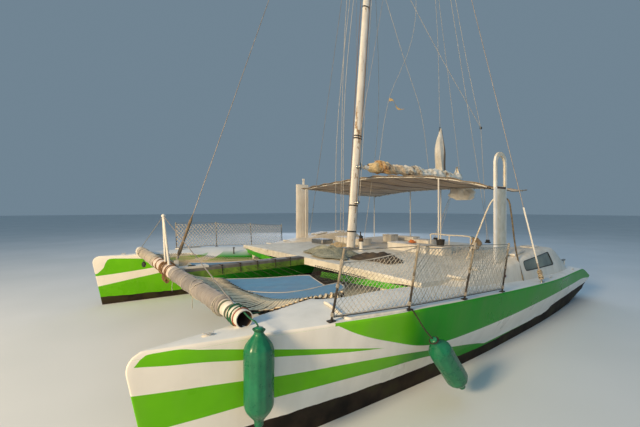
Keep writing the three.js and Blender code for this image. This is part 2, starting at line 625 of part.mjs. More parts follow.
// Canopy: heights of its front and aft edges across the boat
const canopyLines = table(['at', 'front', 'aft'], [
  [-canopyHalfWidth, 3270, 3063],
  [-2350, 3365, 3130],
  [-1000, 3446, 3190],
  [0, 3482, 3185],
  [1000, 3415, 3165],
  [2000, 3325, 3130],
  [2600, 3195, 3070],
  [3050, 3070, 3015],
  [canopyHalfWidth, 2965, 2980],
]);
const canopySag = 35;
const canopyZ = (y, v) => reading(canopyLines, 'front', y) * (1 - v) + reading(canopyLines, 'aft', y) * v
  - canopySag * Math.sin(Math.PI * v);
const mix = (from, to, share) => from + (to - from) * share;
const canopySkin = (u, v) => {
  const y = mix(-canopyHalfWidth, canopyHalfWidth, u);
  const [front, aft] = [canopyFrontA, canopyAftA].map((edge) => mix(edge.starboard, edge.port, u));
  return point(xAt(mix(front, aft, v)), y, canopyZ(y, v));
};
const railRoute = (v, drop) => Array.from({ length: 9 }, (_, i) => {
  const u = 0.01 + (i / 8) * 0.98;
  return canopySkin(u, v).add(point(0, 0, -drop));
});
const railDrop = canopyThickness + railRadius - 4;
const postTable = table(['frame', 'y'], [
  ['front', 3330],
  ['front', 1994],
  ['front', -3330],
  ['aft', 2650],
  ['aft', 620],
  ['aft', -889],
  ['aft', -3330],
]);
const frameShare = { front: 0.03, aft: 0.96 };
const canopyRails = {};
for (const name of ['front', 'aft']) {
  const share = frameShare[name];
  const rail = tube(railRoute(share, railDrop), railRadius, 20, 8);
  canopyRails[name] = toSolid(tube(railRoute(share, railDrop), railRadius + fit, 20, 8));
  const posts = postTable.filter((post) => post.frame === name).map(({ y }) => {
    const top = canopySkin((y / canopyHalfWidth + 1) / 2, share);
    const aft = stemFootX - top.x;
    const foot = Math.abs(y) > 3200 ? roofTopAt(aft) - 20 : deckTopAt(aft, y) - 20;
    return toSolid(bar(top.clone().setZ(foot), top.clone().setZ(top.z - railDrop), 19, 10));
  });
  place(`${name}_canopy_frame`, clearOf(join(toSolid(rail), ...posts), [...neighbours, grownDeck]),
    sprayedAluminium);
}
const edgePoles = {};
for (const [sideName, side] of sides) {
  const route = Array.from({ length: 5 }, (_, i) => {
    const u = side > 0 ? 0.972 : 0.028;
    return canopySkin(u, 0.005 + (i / 4) * 0.99).add(point(0, 0, -railDrop));
  });
  edgePoles[sideName] = toSolid(tube(route, railRadius + fit, 10, 8));
  place(`${sideName}_canopy_pole`, clearOf(toSolid(tube(route, railRadius, 10, 8)), Object.values(canopyRails)),
    side > 0 ? darkSteel : sprayedAluminium);
}
place('canopy', clearOf(toSolid(sheet(canopySkin, 16, 8, canopyThickness)),
  [...Object.values(canopyRails), ...Object.values(edgePoles)]), canopyCloth);

// Daggerboards, raised
const boardTopZ = { port: 2940, starboard: 3435 };
const boardFoil = (fromZ, toZ) => toSolid(prism(foilOutline(boardChord, boardThickness, boardX), fromZ, toZ));
const hoopTopZ = 3665;
const boardHoop = () => {
  const outline = new THREE.Shape();
  const [half, foot] = [boardChord * 0.46, boardTopZ.port - 40];
  const arch = (path, radius, base) => {
    path.moveTo(boardX - radius, base);
    path.lineTo(boardX + radius, base);
    path.lineTo(boardX + radius, hoopTopZ - half);
    path.absarc(boardX, hoopTopZ - half, radius, 0, Math.PI, false);
    path.closePath();
  };
  arch(outline, half, foot);
  const hole = new THREE.Path();
  arch(hole, half - 85, boardTopZ.port + 20);
  outline.holes.push(hole);
  const geometry = new THREE.ExtrudeGeometry(outline, { depth: 40, bevelEnabled: false, curveSegments: 10 });
  return toSolid(geometry.rotateX(Math.PI / 2).translate(0, 20, 0));
};
const boardCrane = () => join(
  toSolid(box(70, 36, 230, boardX - 60, 0, boardTopZ.starboard + 95)),
  toSolid(bar(point(boardX - 60, -24, boardTopZ.starboard + 190),
    point(boardX - 60, 24, boardTopZ.starboard + 190), 45, 14)),
);
const heads = { port: boardHoop, starboard: boardCrane };
for (const [sideName, side] of sides) {
  const board = join(boardFoil(boardTipZ, boardTopZ[sideName]), heads[sideName]());
  place(`${sideName}_daggerboard`, board, foilPaint).position.y = side * (hullCentreY + boardOffset);
}

// Bent tube guard that straddles the port daggerboard
const guardX = xAt(boardA + 322);
const guardRoute = [[3925, 1030], [3786, 1654], [3691, 2437], [3645, 2680], [3560, 2752], [3400, 2752],
  [3300, 2670], [2930, 1795], [2735, 1335]].map(([y, z]) => point(guardX, y, z));
place('port_board_guard', clearOf(toSolid(tube(guardRoute, 16, 40, 8)), [...neighbours, grownDeck]),
  stainless);

// Rudders on stocks through the hulls, tillers above the stern step and the bar that ties them
const rudderX = xAt(rudderA);
const blade = { chord: 400, thickness: 56, topZ: -175, tipZ: -960, centreX: rudderX - 80 };
for (const [sideName, side] of sides) {
  const y = side * hullCentreY;
  const stock = toSolid(bar(point(rudderX, 0, -400), point(rudderX, 0, tillerZ - 20 - fit), stockRadius, 16));
  const bladeSolid = toSolid(prism(foilOutline(blade.chord, blade.thickness, blade.centreX), blade.tipZ, blade.topZ));
  place(`${sideName}_rudder`, join(stock, bladeSolid), foilPaint).position.y = y;
  const arm = join(toSolid(box(tillerLength + 90, 46, 40, rudderX + tillerLength / 2, 0, tillerZ)),
    toSolid(bar(point(rudderX + tillerLength, 0, tillerZ), point(rudderX + tillerLength, 0, tillerZ + 62), 10, 12)));
  place(`${sideName}_tiller`, arm, bareAluminium).position.y = y;
}
const tieBarZ = tillerZ + 42;
const tieEnd = (side, radius) => bar(point(rudderX + tillerLength, side * hullCentreY, tieBarZ - 20),
  point(rudderX + tillerLength, side * hullCentreY, tieBarZ + 20), radius, 12);
const tieRod = toSolid(bar(point(rudderX + tillerLength, -hullCentreY, tieBarZ),
  point(rudderX + tillerLength, hullCentreY, tieBarZ), 17, 10));
const tieBar = join(tieRod, ...sides.map(([, side]) => toSolid(tieEnd(side, 27))));
place('tiller_tie_bar', [[1, 10.7], [-1, 14]].reduce((rest, [side, radius]) =>
  rest.subtract(toSolid(bar(point(rudderX + tillerLength, side * hullCentreY, tieBarZ - 60),
    point(rudderX + tillerLength, side * hullCentreY, tieBarZ + 60), radius, 12))), tieBar), bareAluminium);

// Guard rails: four stanchions a side with lifelines, and the netting inside them
const stanchionTable = table(['port', 'starboard', 'flare'], [
  [1694, 1913, 200],
  [2747, 3232, 130],
  [3964, 4522, 150],
  [5159, 5799, 100],
]);
const stanchionInset = 45; // from the deck edge to the feet
const stanchionHeight = 830;
const stanchionRadius = 14;
const railPlates = [];
for (const [sideName, side] of sides) {
  const posts = stanchionTable.map((row) => {
    const aft = row[sideName];
    const y = side * (hullCentreY + reading(hullLines, 'deckHalf', aft) - stanchionInset);
    const z = reading(hullLines, 'sheer', aft) + 2;
    const head = point(xAt(aft) - 20, y + side * row.flare, z + stanchionHeight);
    return { foot: point(xAt(aft), y, z), head };
  });
  const tubes = posts.map(({ foot, head }) =>
    toSolid(bar(foot.clone().add(point(0, 0, -10)), head, stanchionRadius, 8)));
  const plates = posts.map(({ foot }) => toSolid(box(90, 60, 14, foot.x, foot.y, foot.z + 8)));
  railPlates.push(...posts.map(({ foot }) => toSolid(box(90 + fit, 60 + 2 * fit, 14 + 2 * fit, foot.x, foot.y,
    foot.z + 8))));
  const wires = [0.06, 0.97].flatMap((share) => posts.slice(1).map((post, i) => toSolid(bar(
    posts[i].foot.clone().lerp(posts[i].head, share), post.foot.clone().lerp(post.head, share), 5, 6))));
  place(`${sideName}_guard_rail`, clearOf(join(...tubes, ...plates, ...wires), neighbours), darkSteel);
  const inboard = stanchionRadius + fit;
  const netCorners = [[0.08, 0], [0.08, 10], [0.96, 10], [0.96, 0]];
  const netRings = posts.map(({ foot, head }) => netCorners.map(([share, depth]) =>
    foot.clone().lerp(head, share).add(point(0, -side * (inboard + depth), 0))));
  place(`${sideName}_rail_net`, loft(netRings), netting);
}

// Trampolines either side of the spine
const trampolineZ = 1225;
const trampolineSag = 80;
for (const [sideName, side] of sides) {
  const surface = (u, v) => point(
    beamX + (xAt(deckFrontA) + fit - beamX) * v,
    side * (spine.width / 2 + fit + u * (hullCentreY - 400 - spine.width / 2)),
    trampolineZ - trampolineSag * Math.sin(Math.PI * Math.min(1, u * 1.15)) * Math.sin(Math.PI * v));
  place(`${sideName}_trampoline`, clearOf(toSolid(sheet(surface, 10, 10, 14)), [grownBeam, ...neighbours]),
    sailcloth);
}

// Lockers on the bridge deck with hinged lids, and the low bench behind them
const lockerTable = table(['name', 'x', 'y', 'length', 'width', 'height'], [
  ['port_locker', -1300, 1150, 450, 1250, 170],
  ['starboard_locker', -1300, -1150, 450, 1250, 170],
]);
const lidThickness = 24;
for (const { name, x, y, length, width, height } of lockerTable) {
  const foot = deckTopZ + fit;
  const shell = toSolid(box(length, width, height, x, y, foot + height / 2))
    .subtract(toSolid(box(length - 36, width - 36, height, x, y, foot + 18 + height / 2)));
  place(name, shell, gelcoat);
  const lidZ = foot + height + fit + lidThickness / 2;
  const barrelX = x + length / 2 + 12;
  place(`${name}_lid`, join(toSolid(box(length + 16, width + 16, lidThickness, x, y, lidZ)),
    toSolid(bar(point(barrelX, y - width * 0.4, lidZ), point(barrelX, y + width * 0.4, lidZ), 10))), gelcoat);
}
place('aft_bench', box(400, 1236, 140, -3675, -1022, deckTopZ + fit + 70), gelcoat);

// Fenders and the lines that they hang on
const fenderProfile = [[0, 0], [26, 0], [38, 45], [95, 100], [138, 180], [147, 260], [147, 690], [138, 770], [95, 850],
  [38, 905], [26, 950], [0, 950]].map(([r, z]) => new THREE.Vector2(r, z));
function fender(foot, head, tie) {
  const heading = head.clone().sub(foot).normalize();
  const turn = new THREE.Quaternion().setFromUnitVectors(point(0, 1, 0), heading);
  const body = new THREE.LatheGeometry(fenderProfile, 18).applyQuaternion(turn).translate(...foot.toArray());
  const eye = foot.clone().add(heading.clone().multiplyScalar(930));
  return join(toSolid(body), toSolid(bar(eye, tie, 8, 6)));
}
place('bow_fender', clearOf(fender(point(beamX, 3830, 420), point(beamX, 3830, 1370), point(beamX, 3540, beamZ + 20)),
  [grownBeam, ...neighbours]), fenderVinyl);
const secondStanchion = stanchionTable[1].port;
const railFoot = point(xAt(secondStanchion), hullCentreY + reading(hullLines, 'deckHalf', secondStanchion) - 40,
  reading(hullLines, 'sheer', secondStanchion) + 10);
place('side_fender', clearOf(fender(point(1905, 4400, 160), point(2480, 4345, 915), railFoot),
  [...railPlates, ...neighbours]), fenderVinyl);

export default boat;
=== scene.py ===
# Open-deck sailing catamaran afloat: hulls, deck, rig, furled sail, canopy, nets and what lies
# on the deck. Metres. +X runs to the bows, +Y to port, +Z up, and the water is at z = 0.
import math
from functools import partial

import bpy
import numpy as np
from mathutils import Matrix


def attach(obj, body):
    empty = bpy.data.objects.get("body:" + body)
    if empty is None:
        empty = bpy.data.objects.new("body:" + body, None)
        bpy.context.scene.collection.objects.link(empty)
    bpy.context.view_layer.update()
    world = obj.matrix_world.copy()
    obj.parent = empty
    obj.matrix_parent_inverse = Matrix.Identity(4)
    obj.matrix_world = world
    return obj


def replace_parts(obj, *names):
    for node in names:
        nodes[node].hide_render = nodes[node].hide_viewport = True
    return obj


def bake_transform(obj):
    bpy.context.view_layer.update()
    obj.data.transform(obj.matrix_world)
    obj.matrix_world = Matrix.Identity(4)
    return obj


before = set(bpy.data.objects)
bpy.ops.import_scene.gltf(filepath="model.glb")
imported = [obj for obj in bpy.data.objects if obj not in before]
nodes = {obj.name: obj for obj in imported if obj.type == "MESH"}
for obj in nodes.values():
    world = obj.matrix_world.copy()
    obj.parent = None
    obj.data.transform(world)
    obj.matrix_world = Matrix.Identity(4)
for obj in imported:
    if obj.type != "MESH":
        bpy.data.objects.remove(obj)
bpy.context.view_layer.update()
rng = np.random.default_rng(11)
fullTurn = 2 * np.pi
print("frame loaded:", len(nodes), "CAD nodes")


def linear(hexColour):
    # sRGB hex to linear RGBA
    c = np.array([int(hexColour[i:i + 2], 16) for i in (1, 3, 5)]) / 255
    c = np.where(c <= 0.04045, c / 12.92, ((c + 0.055) / 1.055) ** 2.4)
    return (*[float(v) for v in c], 1.0)


def outputOf(source):
    # a socket as it is, and a node's first output in use
    if isinstance(source, bpy.types.NodeSocket):
        return source
    return next(socket for socket in source.outputs if socket.enabled)


def node(tree, kind, inputs=None, stops=None, points=None, **settings):
    # adds one node, sets what is given and links what comes from another node
    made = tree.nodes.new(kind if "Node" in kind else "ShaderNode" + kind)
    for name, value in settings.items():
        setattr(made, name, value)
    for key, value in (inputs or {}).items():
        if isinstance(value, (bpy.types.NodeSocket, bpy.types.Node)):
            tree.links.new(outputOf(value), made.inputs[key])
        else:
            made.inputs[key].default_value = value
    if stops:
        while len(made.color_ramp.elements) < len(stops):
            made.color_ramp.elements.new(0.5)
        for element, (at, colour) in zip(made.color_ramp.elements, stops):
            element.position, element.color = at, linear(colour)
    if points:
        curve = made.mapping.curves[0]
        curve.points[0].location, curve.points[1].location = points[0], points[-1]
        for at in points[1:-1]:
            curve.points.new(*at)
        for point in curve.points:
            point.handle_type = "AUTO_CLAMPED"
        made.mapping.extend = "HORIZONTAL"
        made.mapping.update()
    return made


def newMaterial(name):
    # an empty material: its node adder, its Object coordinates, and a function that wires its surface
    material = bpy.data.materials.new(name)
    material.use_nodes = True
    add = partial(node, material.node_tree)
    shader = material.node_tree.nodes["Principled BSDF"]

    def wire(colour, rough=None, bump=None, **constants):
        # rough is (pattern, lowest, highest), or a pattern
        # alone; bump is (pattern, depth in metres, strength)
        join = material.node_tree.links.new
        join(outputOf(colour), shader.inputs["Base Color"])
        if isinstance(rough, tuple):
            rough = add("MapRange", {"Value": rough[0], "From Min": 0.3, "From Max": 0.7, "To Min": rough[1],
                "To Max": rough[2]})
        if rough:
            join(outputOf(rough), shader.inputs["Roughness"])
        if bump:
            height = add("Bump", {"Height": bump[0], "Distance": bump[1], "Strength": bump[2]})
            join(outputOf(height), shader.inputs["Normal"])
        for socket, value in constants.items():
            shader.inputs[socket.replace("_", " ")].default_value = value
        return material

    return add, add("TexCoord").outputs["Object"], wire


def lerp(a, b, share):
    return a + (b - a) * share


def smoothPath(points, count):
    # Catmull-Rom curve through the points: each stretch is a cubic blend of its four nearest points
    p = np.asarray(points, float)
    ends = np.concatenate([[2 * p[0] - p[1]], p, [2 * p[-1] - p[-2]]])
    t = np.linspace(0, len(p) - 1, count)
    i = np.minimum(t.astype(int), len(p) - 2)
    f = (t - i)[:, None]
    a, b, c, d = ends[i], ends[i + 1], ends[i + 2], ends[i + 3]
    return 0.5 * (2 * b + (c - a) * f + (2 * a - 5 * b + 4 * c - d) * f ** 2
        + (3 * b - a - 3 * c + d) * f ** 3)


def runOf(path):
    # distance run at each point of a path
    return np.concatenate([[0], np.cumsum(np.linalg.norm(np.diff(path, axis=0), axis=1))])


def sampled(at, known, values):
    # columns of values known at some places, read along straight lines between them
    return np.stack([np.interp(at, known, values[:, k]) for k in range(values.shape[1])], -1)


def evenPath(path, count):
    # the same line with points at equal distances along it
    path = np.asarray(path, float)
    run = runOf(path)
    return sampled(np.linspace(0, run[-1], count), run, path)


def unit(v):
    return v / np.maximum(np.linalg.norm(v, axis=-1, keepdims=True), 1e-12)


def axesRound(axis, hint):
    # two directions square to an axis, for circles round it
    across = unit(np.cross(axis, hint))
    return across, np.cross(axis, across)


def circle(angle, across, other):
    return np.cos(angle)[..., None] * across + np.sin(angle)[..., None] * other


def pairs(a, b):
    # two arrays that hold every pair of values
    return np.meshgrid(a, b, indexing="ij")


def ringAngles(count):
    return np.arange(count) / count * fullTurn


def framesOn(path, up):
    # along, sideways and upright directions at each point of a path
    along = unit(np.gradient(path, axis=0))
    sideways = unit(np.cross(along, np.broadcast_to(up, along.shape)))
    return along, sideways, np.cross(sideways, along)


def gridPart(grid, wrap=True, caps=True):
    # quads between neighbouring grid points with a UV map in metres: u along the rows, v round or across
    rows, cols = grid.shape[:2]
    i, j = pairs(np.arange(rows - 1), np.arange(cols if wrap else cols - 1))
    i, j = i.ravel(), j.ravel()
    right = (j + 1) % cols
    quads = np.stack([i * cols + j, (i + 1) * cols + j, (i + 1) * cols + right, i * cols + right], 1)
    u = runOf(grid.mean(1))
    middle = grid[rows // 2]
    v = np.concatenate([runOf(middle), [0]])
    v[-1] = v[-2] + np.linalg.norm(middle[0] - middle[-1])
    uv = np.stack([np.stack([u[a], v[b]], 1) for a, b in ((i, j), (i + 1, j), (i + 1, j + 1), (i, j + 1))], 1)
    points = grid.reshape(-1, 3)
    fans = np.zeros((0, 3), int)
    if wrap and caps:
        # each end is closed by a fan round its middle
        k, total = np.arange(cols), rows * cols
        points = np.concatenate([points, grid[0].mean(0)[None], grid[-1].mean(0)[None]])
        first = np.stack([(k + 1) % cols, np.full(cols, total), k], 1)
        last = np.stack([total - cols + k, np.full(cols, total + 1), total - cols + (k + 1) % cols], 1)
        fans = np.concatenate([first, last])
        # faces that enclose less than nothing with the origin are inside out, so they are turned
        a, b, c, d = (points[quads[:, n]] for n in range(4))
        inside = np.sum(a * np.cross(b, c)) + np.sum(a * np.cross(c, d))
        a, b, c = (points[fans[:, n]] for n in range(3))
        if inside + np.sum(a * np.cross(b, c)) < 0:
            quads, uv, fans = quads[:, ::-1], uv[:, ::-1], fans[:, ::-1]
    return {"points": points, "quads": quads, "uv": uv, "fans": fans, "fanUv": np.zeros((len(fans), 3, 2))}


def ropePart(path, radius, sides=8, up=(0, 0, 1), flat=1.0):
    # a circle, or an ellipse flattened upright, carried along a path
    along, sideways, upright = framesOn(path, up)
    return gridPart(path[:, None] + radius * circle(ringAngles(sides), sideways[:, None],
        flat * upright[:, None]))


def tubePart(path, radius, count=None, sides=6, up=(0, 0, 1), flat=1.0):
    # a round or flattened rod along a smooth line through the points
    points = np.asarray(path, float)
    count = count or max(2, 1 + 4 * (len(points) - 1))
    line = smoothPath(points, count) if len(points) > 2 else lerp(*points, np.linspace(0, 1, count)[:, None])
    return ropePart(line, radius, sides, up, flat)


def rodPart(a, b, radius, sides=8):
    return ropePart(np.array([a, b], float), radius, sides, (0.1, 1, 0.2))


def boxPart(low, high):
    # a plain box between two corners, as a grid of four sides with closed ends
    (x0, y0, z0), (x1, y1, z1) = low, high
    ring = [(y0, z0), (y1, z0), (y1, z1), (y0, z1)]
    return gridPart(np.array([[(x, y, z) for y, z in ring] for x in (x0, x1)], float))


def lathePart(profile, centre, axis=(0, 0, 1), sides=24):
    # a profile of (along, radius) pairs turned round an axis through a point
    axis = unit(np.array(axis, float))
    along, radius = np.array(profile, float).T
    path = np.asarray(centre, float) + along[:, None] * axis
    across, other = axesRound(axis, (1, 0, 0) if abs(axis[0]) < 0.9 else (0, 1, 0))
    radius = np.maximum(radius, 1e-4)[:, None, None]
    return gridPart(path[:, None] + radius * circle(ringAngles(sides), across, other))


def makePiece(name, parts, look, slot, body="platform", smooth=True, smoothAngle=None, thick=None):
    parts = parts if isinstance(parts, list) else [parts]
    offset = np.cumsum([0] + [len(p["points"]) for p in parts])
    points = np.concatenate([p["points"] for p in parts])
    quads = np.concatenate([p["quads"] + o for p, o in zip(parts, offset)])
    fans = np.concatenate([p["fans"] + o for p, o in zip(parts, offset)])
    loops = np.concatenate([quads.ravel(), fans.ravel()])
    uv = np.concatenate([p["uv"].reshape(-1, 2) for p in parts] + [p["fanUv"].reshape(-1, 2) for p in parts])
    starts = np.concatenate([np.arange(len(quads)) * 4, len(quads) * 4 + np.arange(len(fans)) * 3])
    mesh = bpy.data.meshes.new(name)
    mesh.vertices.add(len(points))
    mesh.vertices.foreach_set("co", points.astype(np.float32).ravel())
    mesh.loops.add(len(loops))
    mesh.loops.foreach_set("vertex_index", loops.astype(np.int32))
    mesh.polygons.add(len(starts))
    mesh.polygons.foreach_set("loop_start", starts.astype(np.int32))
    mesh.polygons.foreach_set("use_smooth", np.full(len(starts), smooth))
    mesh.uv_layers.new(name="UVMap").data.foreach_set("uv", uv.astype(np.float32).ravel())
    mesh.update(calc_edges=True)
    mesh.validate()
    piece = bpy.data.objects.new(name, mesh)
    bpy.context.scene.collection.objects.link(piece)
    mesh.materials.append(finish[look])
    if smoothAngle is not None:
        mesh.set_sharp_from_angle(angle=math.radians(smoothAngle))
    if body:
        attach(piece, body)
    if thick:
        wall = piece.modifiers.new("thick", "SOLIDIFY")
        wall.thickness, wall.offset = thick
    return piece


def applied(piece):
    # the piece with its modifiers made part of its mesh
    shape = bpy.data.meshes.new_from_object(piece.evaluated_get(bpy.context.evaluated_depsgraph_get()))
    piece.modifiers.clear()
    old, piece.data = piece.data, shape
    bpy.data.meshes.remove(old)


def cutOut(piece, parts):
    # takes closed blocks out of a closed piece
    for part in parts:
        mesh = bpy.data.meshes.new("cutter")
        mesh.from_pydata(part["points"].tolist(), [], part["quads"].tolist() + part["fans"].tolist())
        cutter = bpy.data.objects.new("cutter", mesh)
        bpy.context.scene.collection.objects.link(cutter)
        cut = piece.modifiers.new("cut", "BOOLEAN")
        cut.object, cut.operation, cut.solver = cutter, "DIFFERENCE", "EXACT"
        applied(piece)
        bpy.data.objects.remove(cutter)
        bpy.data.meshes.remove(mesh)


def readLines(table, column, at):
    # value of a table's column at places along it, on a cubic that never overshoots
    x, v = np.array(table["at"], float), np.array(table[column], float)
    slope = np.diff(v) / np.diff(x)
    a, b = slope[:-1], slope[1:]
    mean = np.where(a * b > 0, 2 * a * b / np.where(a + b == 0, 1, a + b), 0)
    lean = np.concatenate([[slope[0]], mean, [slope[-1]]])
    at = np.clip(np.asarray(at, float), x[0], x[-1])
    i = np.clip(np.searchsorted(x, at, side="right") - 1, 0, len(x) - 2)
    run = x[i + 1] - x[i]
    t = (at - x[i]) / run
    return ((2 * t ** 3 - 3 * t ** 2 + 1) * v[i] + (t ** 3 - 2 * t ** 2 + t) * run * lean[i]
        + (3 * t ** 2 - 2 * t ** 3) * v[i + 1] + (t ** 3 - t ** 2) * run * lean[i + 1])


def rowsOf(table, columns, at):
    return [readLines(table, column, at)[:, None] for column in columns]


view = {"place": (5.95, 6.646, 2.5), "heading": (-0.6032, -0.7976), "focalPixels": 322.0, "horizonRow": 209.0}
imageWidth, imageHeight = 640, 427
camera = bpy.data.objects.new("camera", bpy.data.cameras.new("camera"))
camera.data.sensor_width = 36.0
camera.data.lens = view["focalPixels"] / imageWidth * 36.0
camera.data.shift_y = (view["horizonRow"] - imageHeight / 2) / imageWidth
camera.data.clip_end = 400
camera.location = view["place"]
camera.rotation_euler = (math.pi / 2, 0, math.atan2(-view["heading"][0], view["heading"][1]))
bpy.context.scene.collection.objects.link(camera)
bpy.context.scene.camera = camera
bpy.context.scene.view_settings.view_transform = "Standard"

# name: size, power, place, aim, colour; a low warm key ahead and pale sky light from the other sides
lights = {
    "keyLight": (4, 5800, (22, 6, 9), (1, 0.5, 1), "#FFDFB0"),
    "skyLight": (26, 1400, (-3, -2, 27), (0, 0, 1), "#94C6F0"),
    "fillLight": (14, 330, (0, 20, 8), (0, 0, 1), "#A6D0F0"),
    "farLight": (16, 800, (-14, -18, 9), (0, 0, 2), "#EFF4FF"),
}
for name, (size, power, place, aim, colour) in lights.items():
    light = bpy.data.lights.new(name, "AREA")
    light.shape, light.size, light.energy, light.color = "SQUARE", size, power, linear(colour)[:3]
    holder = bpy.data.objects.new(name, light)
    holder.location = place
    x, y, z = np.subtract(aim, place)
    holder.rotation_euler = (math.atan2(math.hypot(x, y), -z), 0, math.atan2(y, x) - math.pi / 2)
    bpy.context.scene.collection.objects.link(holder)
world = bpy.data.worlds.new("studio")
bpy.context.scene.world = world
world.use_nodes = True
world.node_tree.nodes["Background"].inputs["Color"].default_value = linear("#B4D2E8")
world.node_tree.nodes["Background"].inputs["Strength"].default_value = 0.36


def floorFinish():
    add, place, wire = newMaterial("paleStudioFloor")
    grain = add("TexNoise", {"Vector": place, "Scale": 0.35, "Detail": 2.0})
    tint = add("ValToRGB", {"Fac": grain}, stops=[(0.35, "#D3D9DC"), (0.65, "#DADFE2")])
    return wire(tint, Roughness=0.85)


floorMesh = bpy.data.meshes.new("floor")
floorMesh.from_pydata([(-160, -160, 0), (160, -160, 0), (160, 160, 0), (-160, 160, 0)], [], [(0, 1, 2, 3)])
floorMesh.materials.append(floorFinish())
floor = bpy.data.objects.new("floor", floorMesh)
bpy.context.scene.collection.objects.link(floor)
print("camera, floor and light set")


def grime(add, place, colour, dirtHex, share, size=1.4, run=0.12):
    # patches and rain streaks of dirt over a colour; size is in patches per metre, run flattens them upright
    patch = add("TexNoise", {"Vector": place, "Scale": size, "Detail": 6.0, "Roughness": 0.62})
    drawn = add("Mapping", {"Vector": place, "Scale": (1, 1, run)})
    streak = add("TexNoise", {"Vector": drawn, "Scale": size * 7, "Detail": 4.0})
    both = add("Math", {0: patch, 1: streak}, operation="MULTIPLY")
    mask = add("MapRange", {"Value": both, "From Min": 0.2, "From Max": 0.42, "To Min": 0.0, "To Max": share})
    return add("Mix", {"Factor": mask, 6: colour, 7: linear(dirtHex)}, data_type="RGBA")


def paintedFinish(name, hexColour, second, dirt, share, rough, grain=40.0, grainDepth=0.0006, run=0.12):
    # a painted or moulded surface: two close tones, grime, and a fine grain that breaks the gloss
    add, place, wire = newMaterial(name)
    tone = add("TexNoise", {"Vector": place, "Scale": 2.2, "Detail": 3.0})
    ramp = add("ValToRGB", {"Fac": tone}, stops=[(0.35, hexColour), (0.68, second)])
    peel = add("TexNoise", {"Vector": place, "Scale": grain, "Detail": 3.0})
    return wire(grime(add, place, ramp, dirt, share, run=run), (peel, *rough), (peel, grainDepth, 1.0))


# Stripes of the topsides: heights of their edges at distances aft of the stem foot, metres. Outboard the
# upper one runs out to a point and a second green starts at the deck edge; inboard one white band climbs.
stripes = {
    "upper": {"outboard": True,
        "top": [(-0.29, 1.1), (-0.17, 1.15), (-0.13, 1.197), (-0.035, 1.244), (0.11, 1.244), (0.36, 1.204),
            (0.75, 1.129), (1.11, 1.063), (1.67, 0.964), (2.45, 0.81)],
        "low": [(-0.29, 1.18), (-0.17, 1.155), (-0.13, 1.15), (0.11, 1.113), (0.36, 1.083), (0.74, 1.021),
            (1.12, 0.982), (1.67, 0.905), (2.0, 0.862), (2.45, 0.812)]},
    "lower": {"outboard": True,
        "top": [(-0.2, 0.915), (0.11, 0.879), (0.36, 0.853), (0.77, 0.807), (1.13, 0.772), (1.76, 0.734),
            (2.42, 0.683), (3.25, 0.575), (4.2, 0.39), (5.05, 0.19)],
        "low": [(-0.2, 0.56), (0.11, 0.557), (0.41, 0.55), (0.79, 0.545), (1.15, 0.537), (1.9, 0.513),
            (2.5, 0.486), (3.3, 0.45), (4.1, 0.2), (5.05, 0.0)]},
    "aft": {"outboard": True,
        "top": [(1.70, 1.19), (1.75, 1.4), (11.2, 1.4)],
        "low": [(1.74, 1.218), (1.97, 1.093), (2.24, 0.978), (2.56, 0.864), (2.85, 0.762), (3.05, 0.705),
            (3.3, 0.663), (3.93, 0.637), (5.5, 0.616), (7.5, 0.624), (9.5, 0.648), (10.0, 0.65),
            (11.1, 0.56)]},
    "inboardUpper": {"outboard": False,
        "top": [(-0.12, 0.82), (0.03, 0.985), (0.16, 1.195), (0.6, 1.169), (1.06, 1.142), (1.7, 1.155),
            (2.6, 1.2), (3.3, 1.4), (11.2, 1.4)],
        "low": [(-0.12, 0.76), (0.37, 0.797), (1.14, 0.881), (1.9, 1.01), (2.5, 1.14), (2.9, 1.3),
            (11.2, 1.3)]},
    "inboardLower": {"outboard": False,
        "top": [(-0.12, 0.483), (0.59, 0.601), (1.33, 0.726), (2.0, 0.87), (2.7, 1.06), (3.3, 1.3),
            (3.5, 1.4), (11.2, 1.4)],
        "low": [(-0.12, 0.0), (11.2, 0.0)]},
}
bootLine = [(-0.2, 0.34), (1.17, 0.305), (2.5, 0.245), (3.6, 0.23), (4.25, 0.17), (4.9, 0.16), (6.3, 0.185),
    (7.8, 0.217), (8.3, 0.3), (9.5, 0.365), (10.8, 0.43)]
innerBootLine = [(-0.2, 0.2), (0.84, 0.181), (1.96, 0.161), (5.0, 0.15), (8.0, 0.2), (10.8, 0.4)]


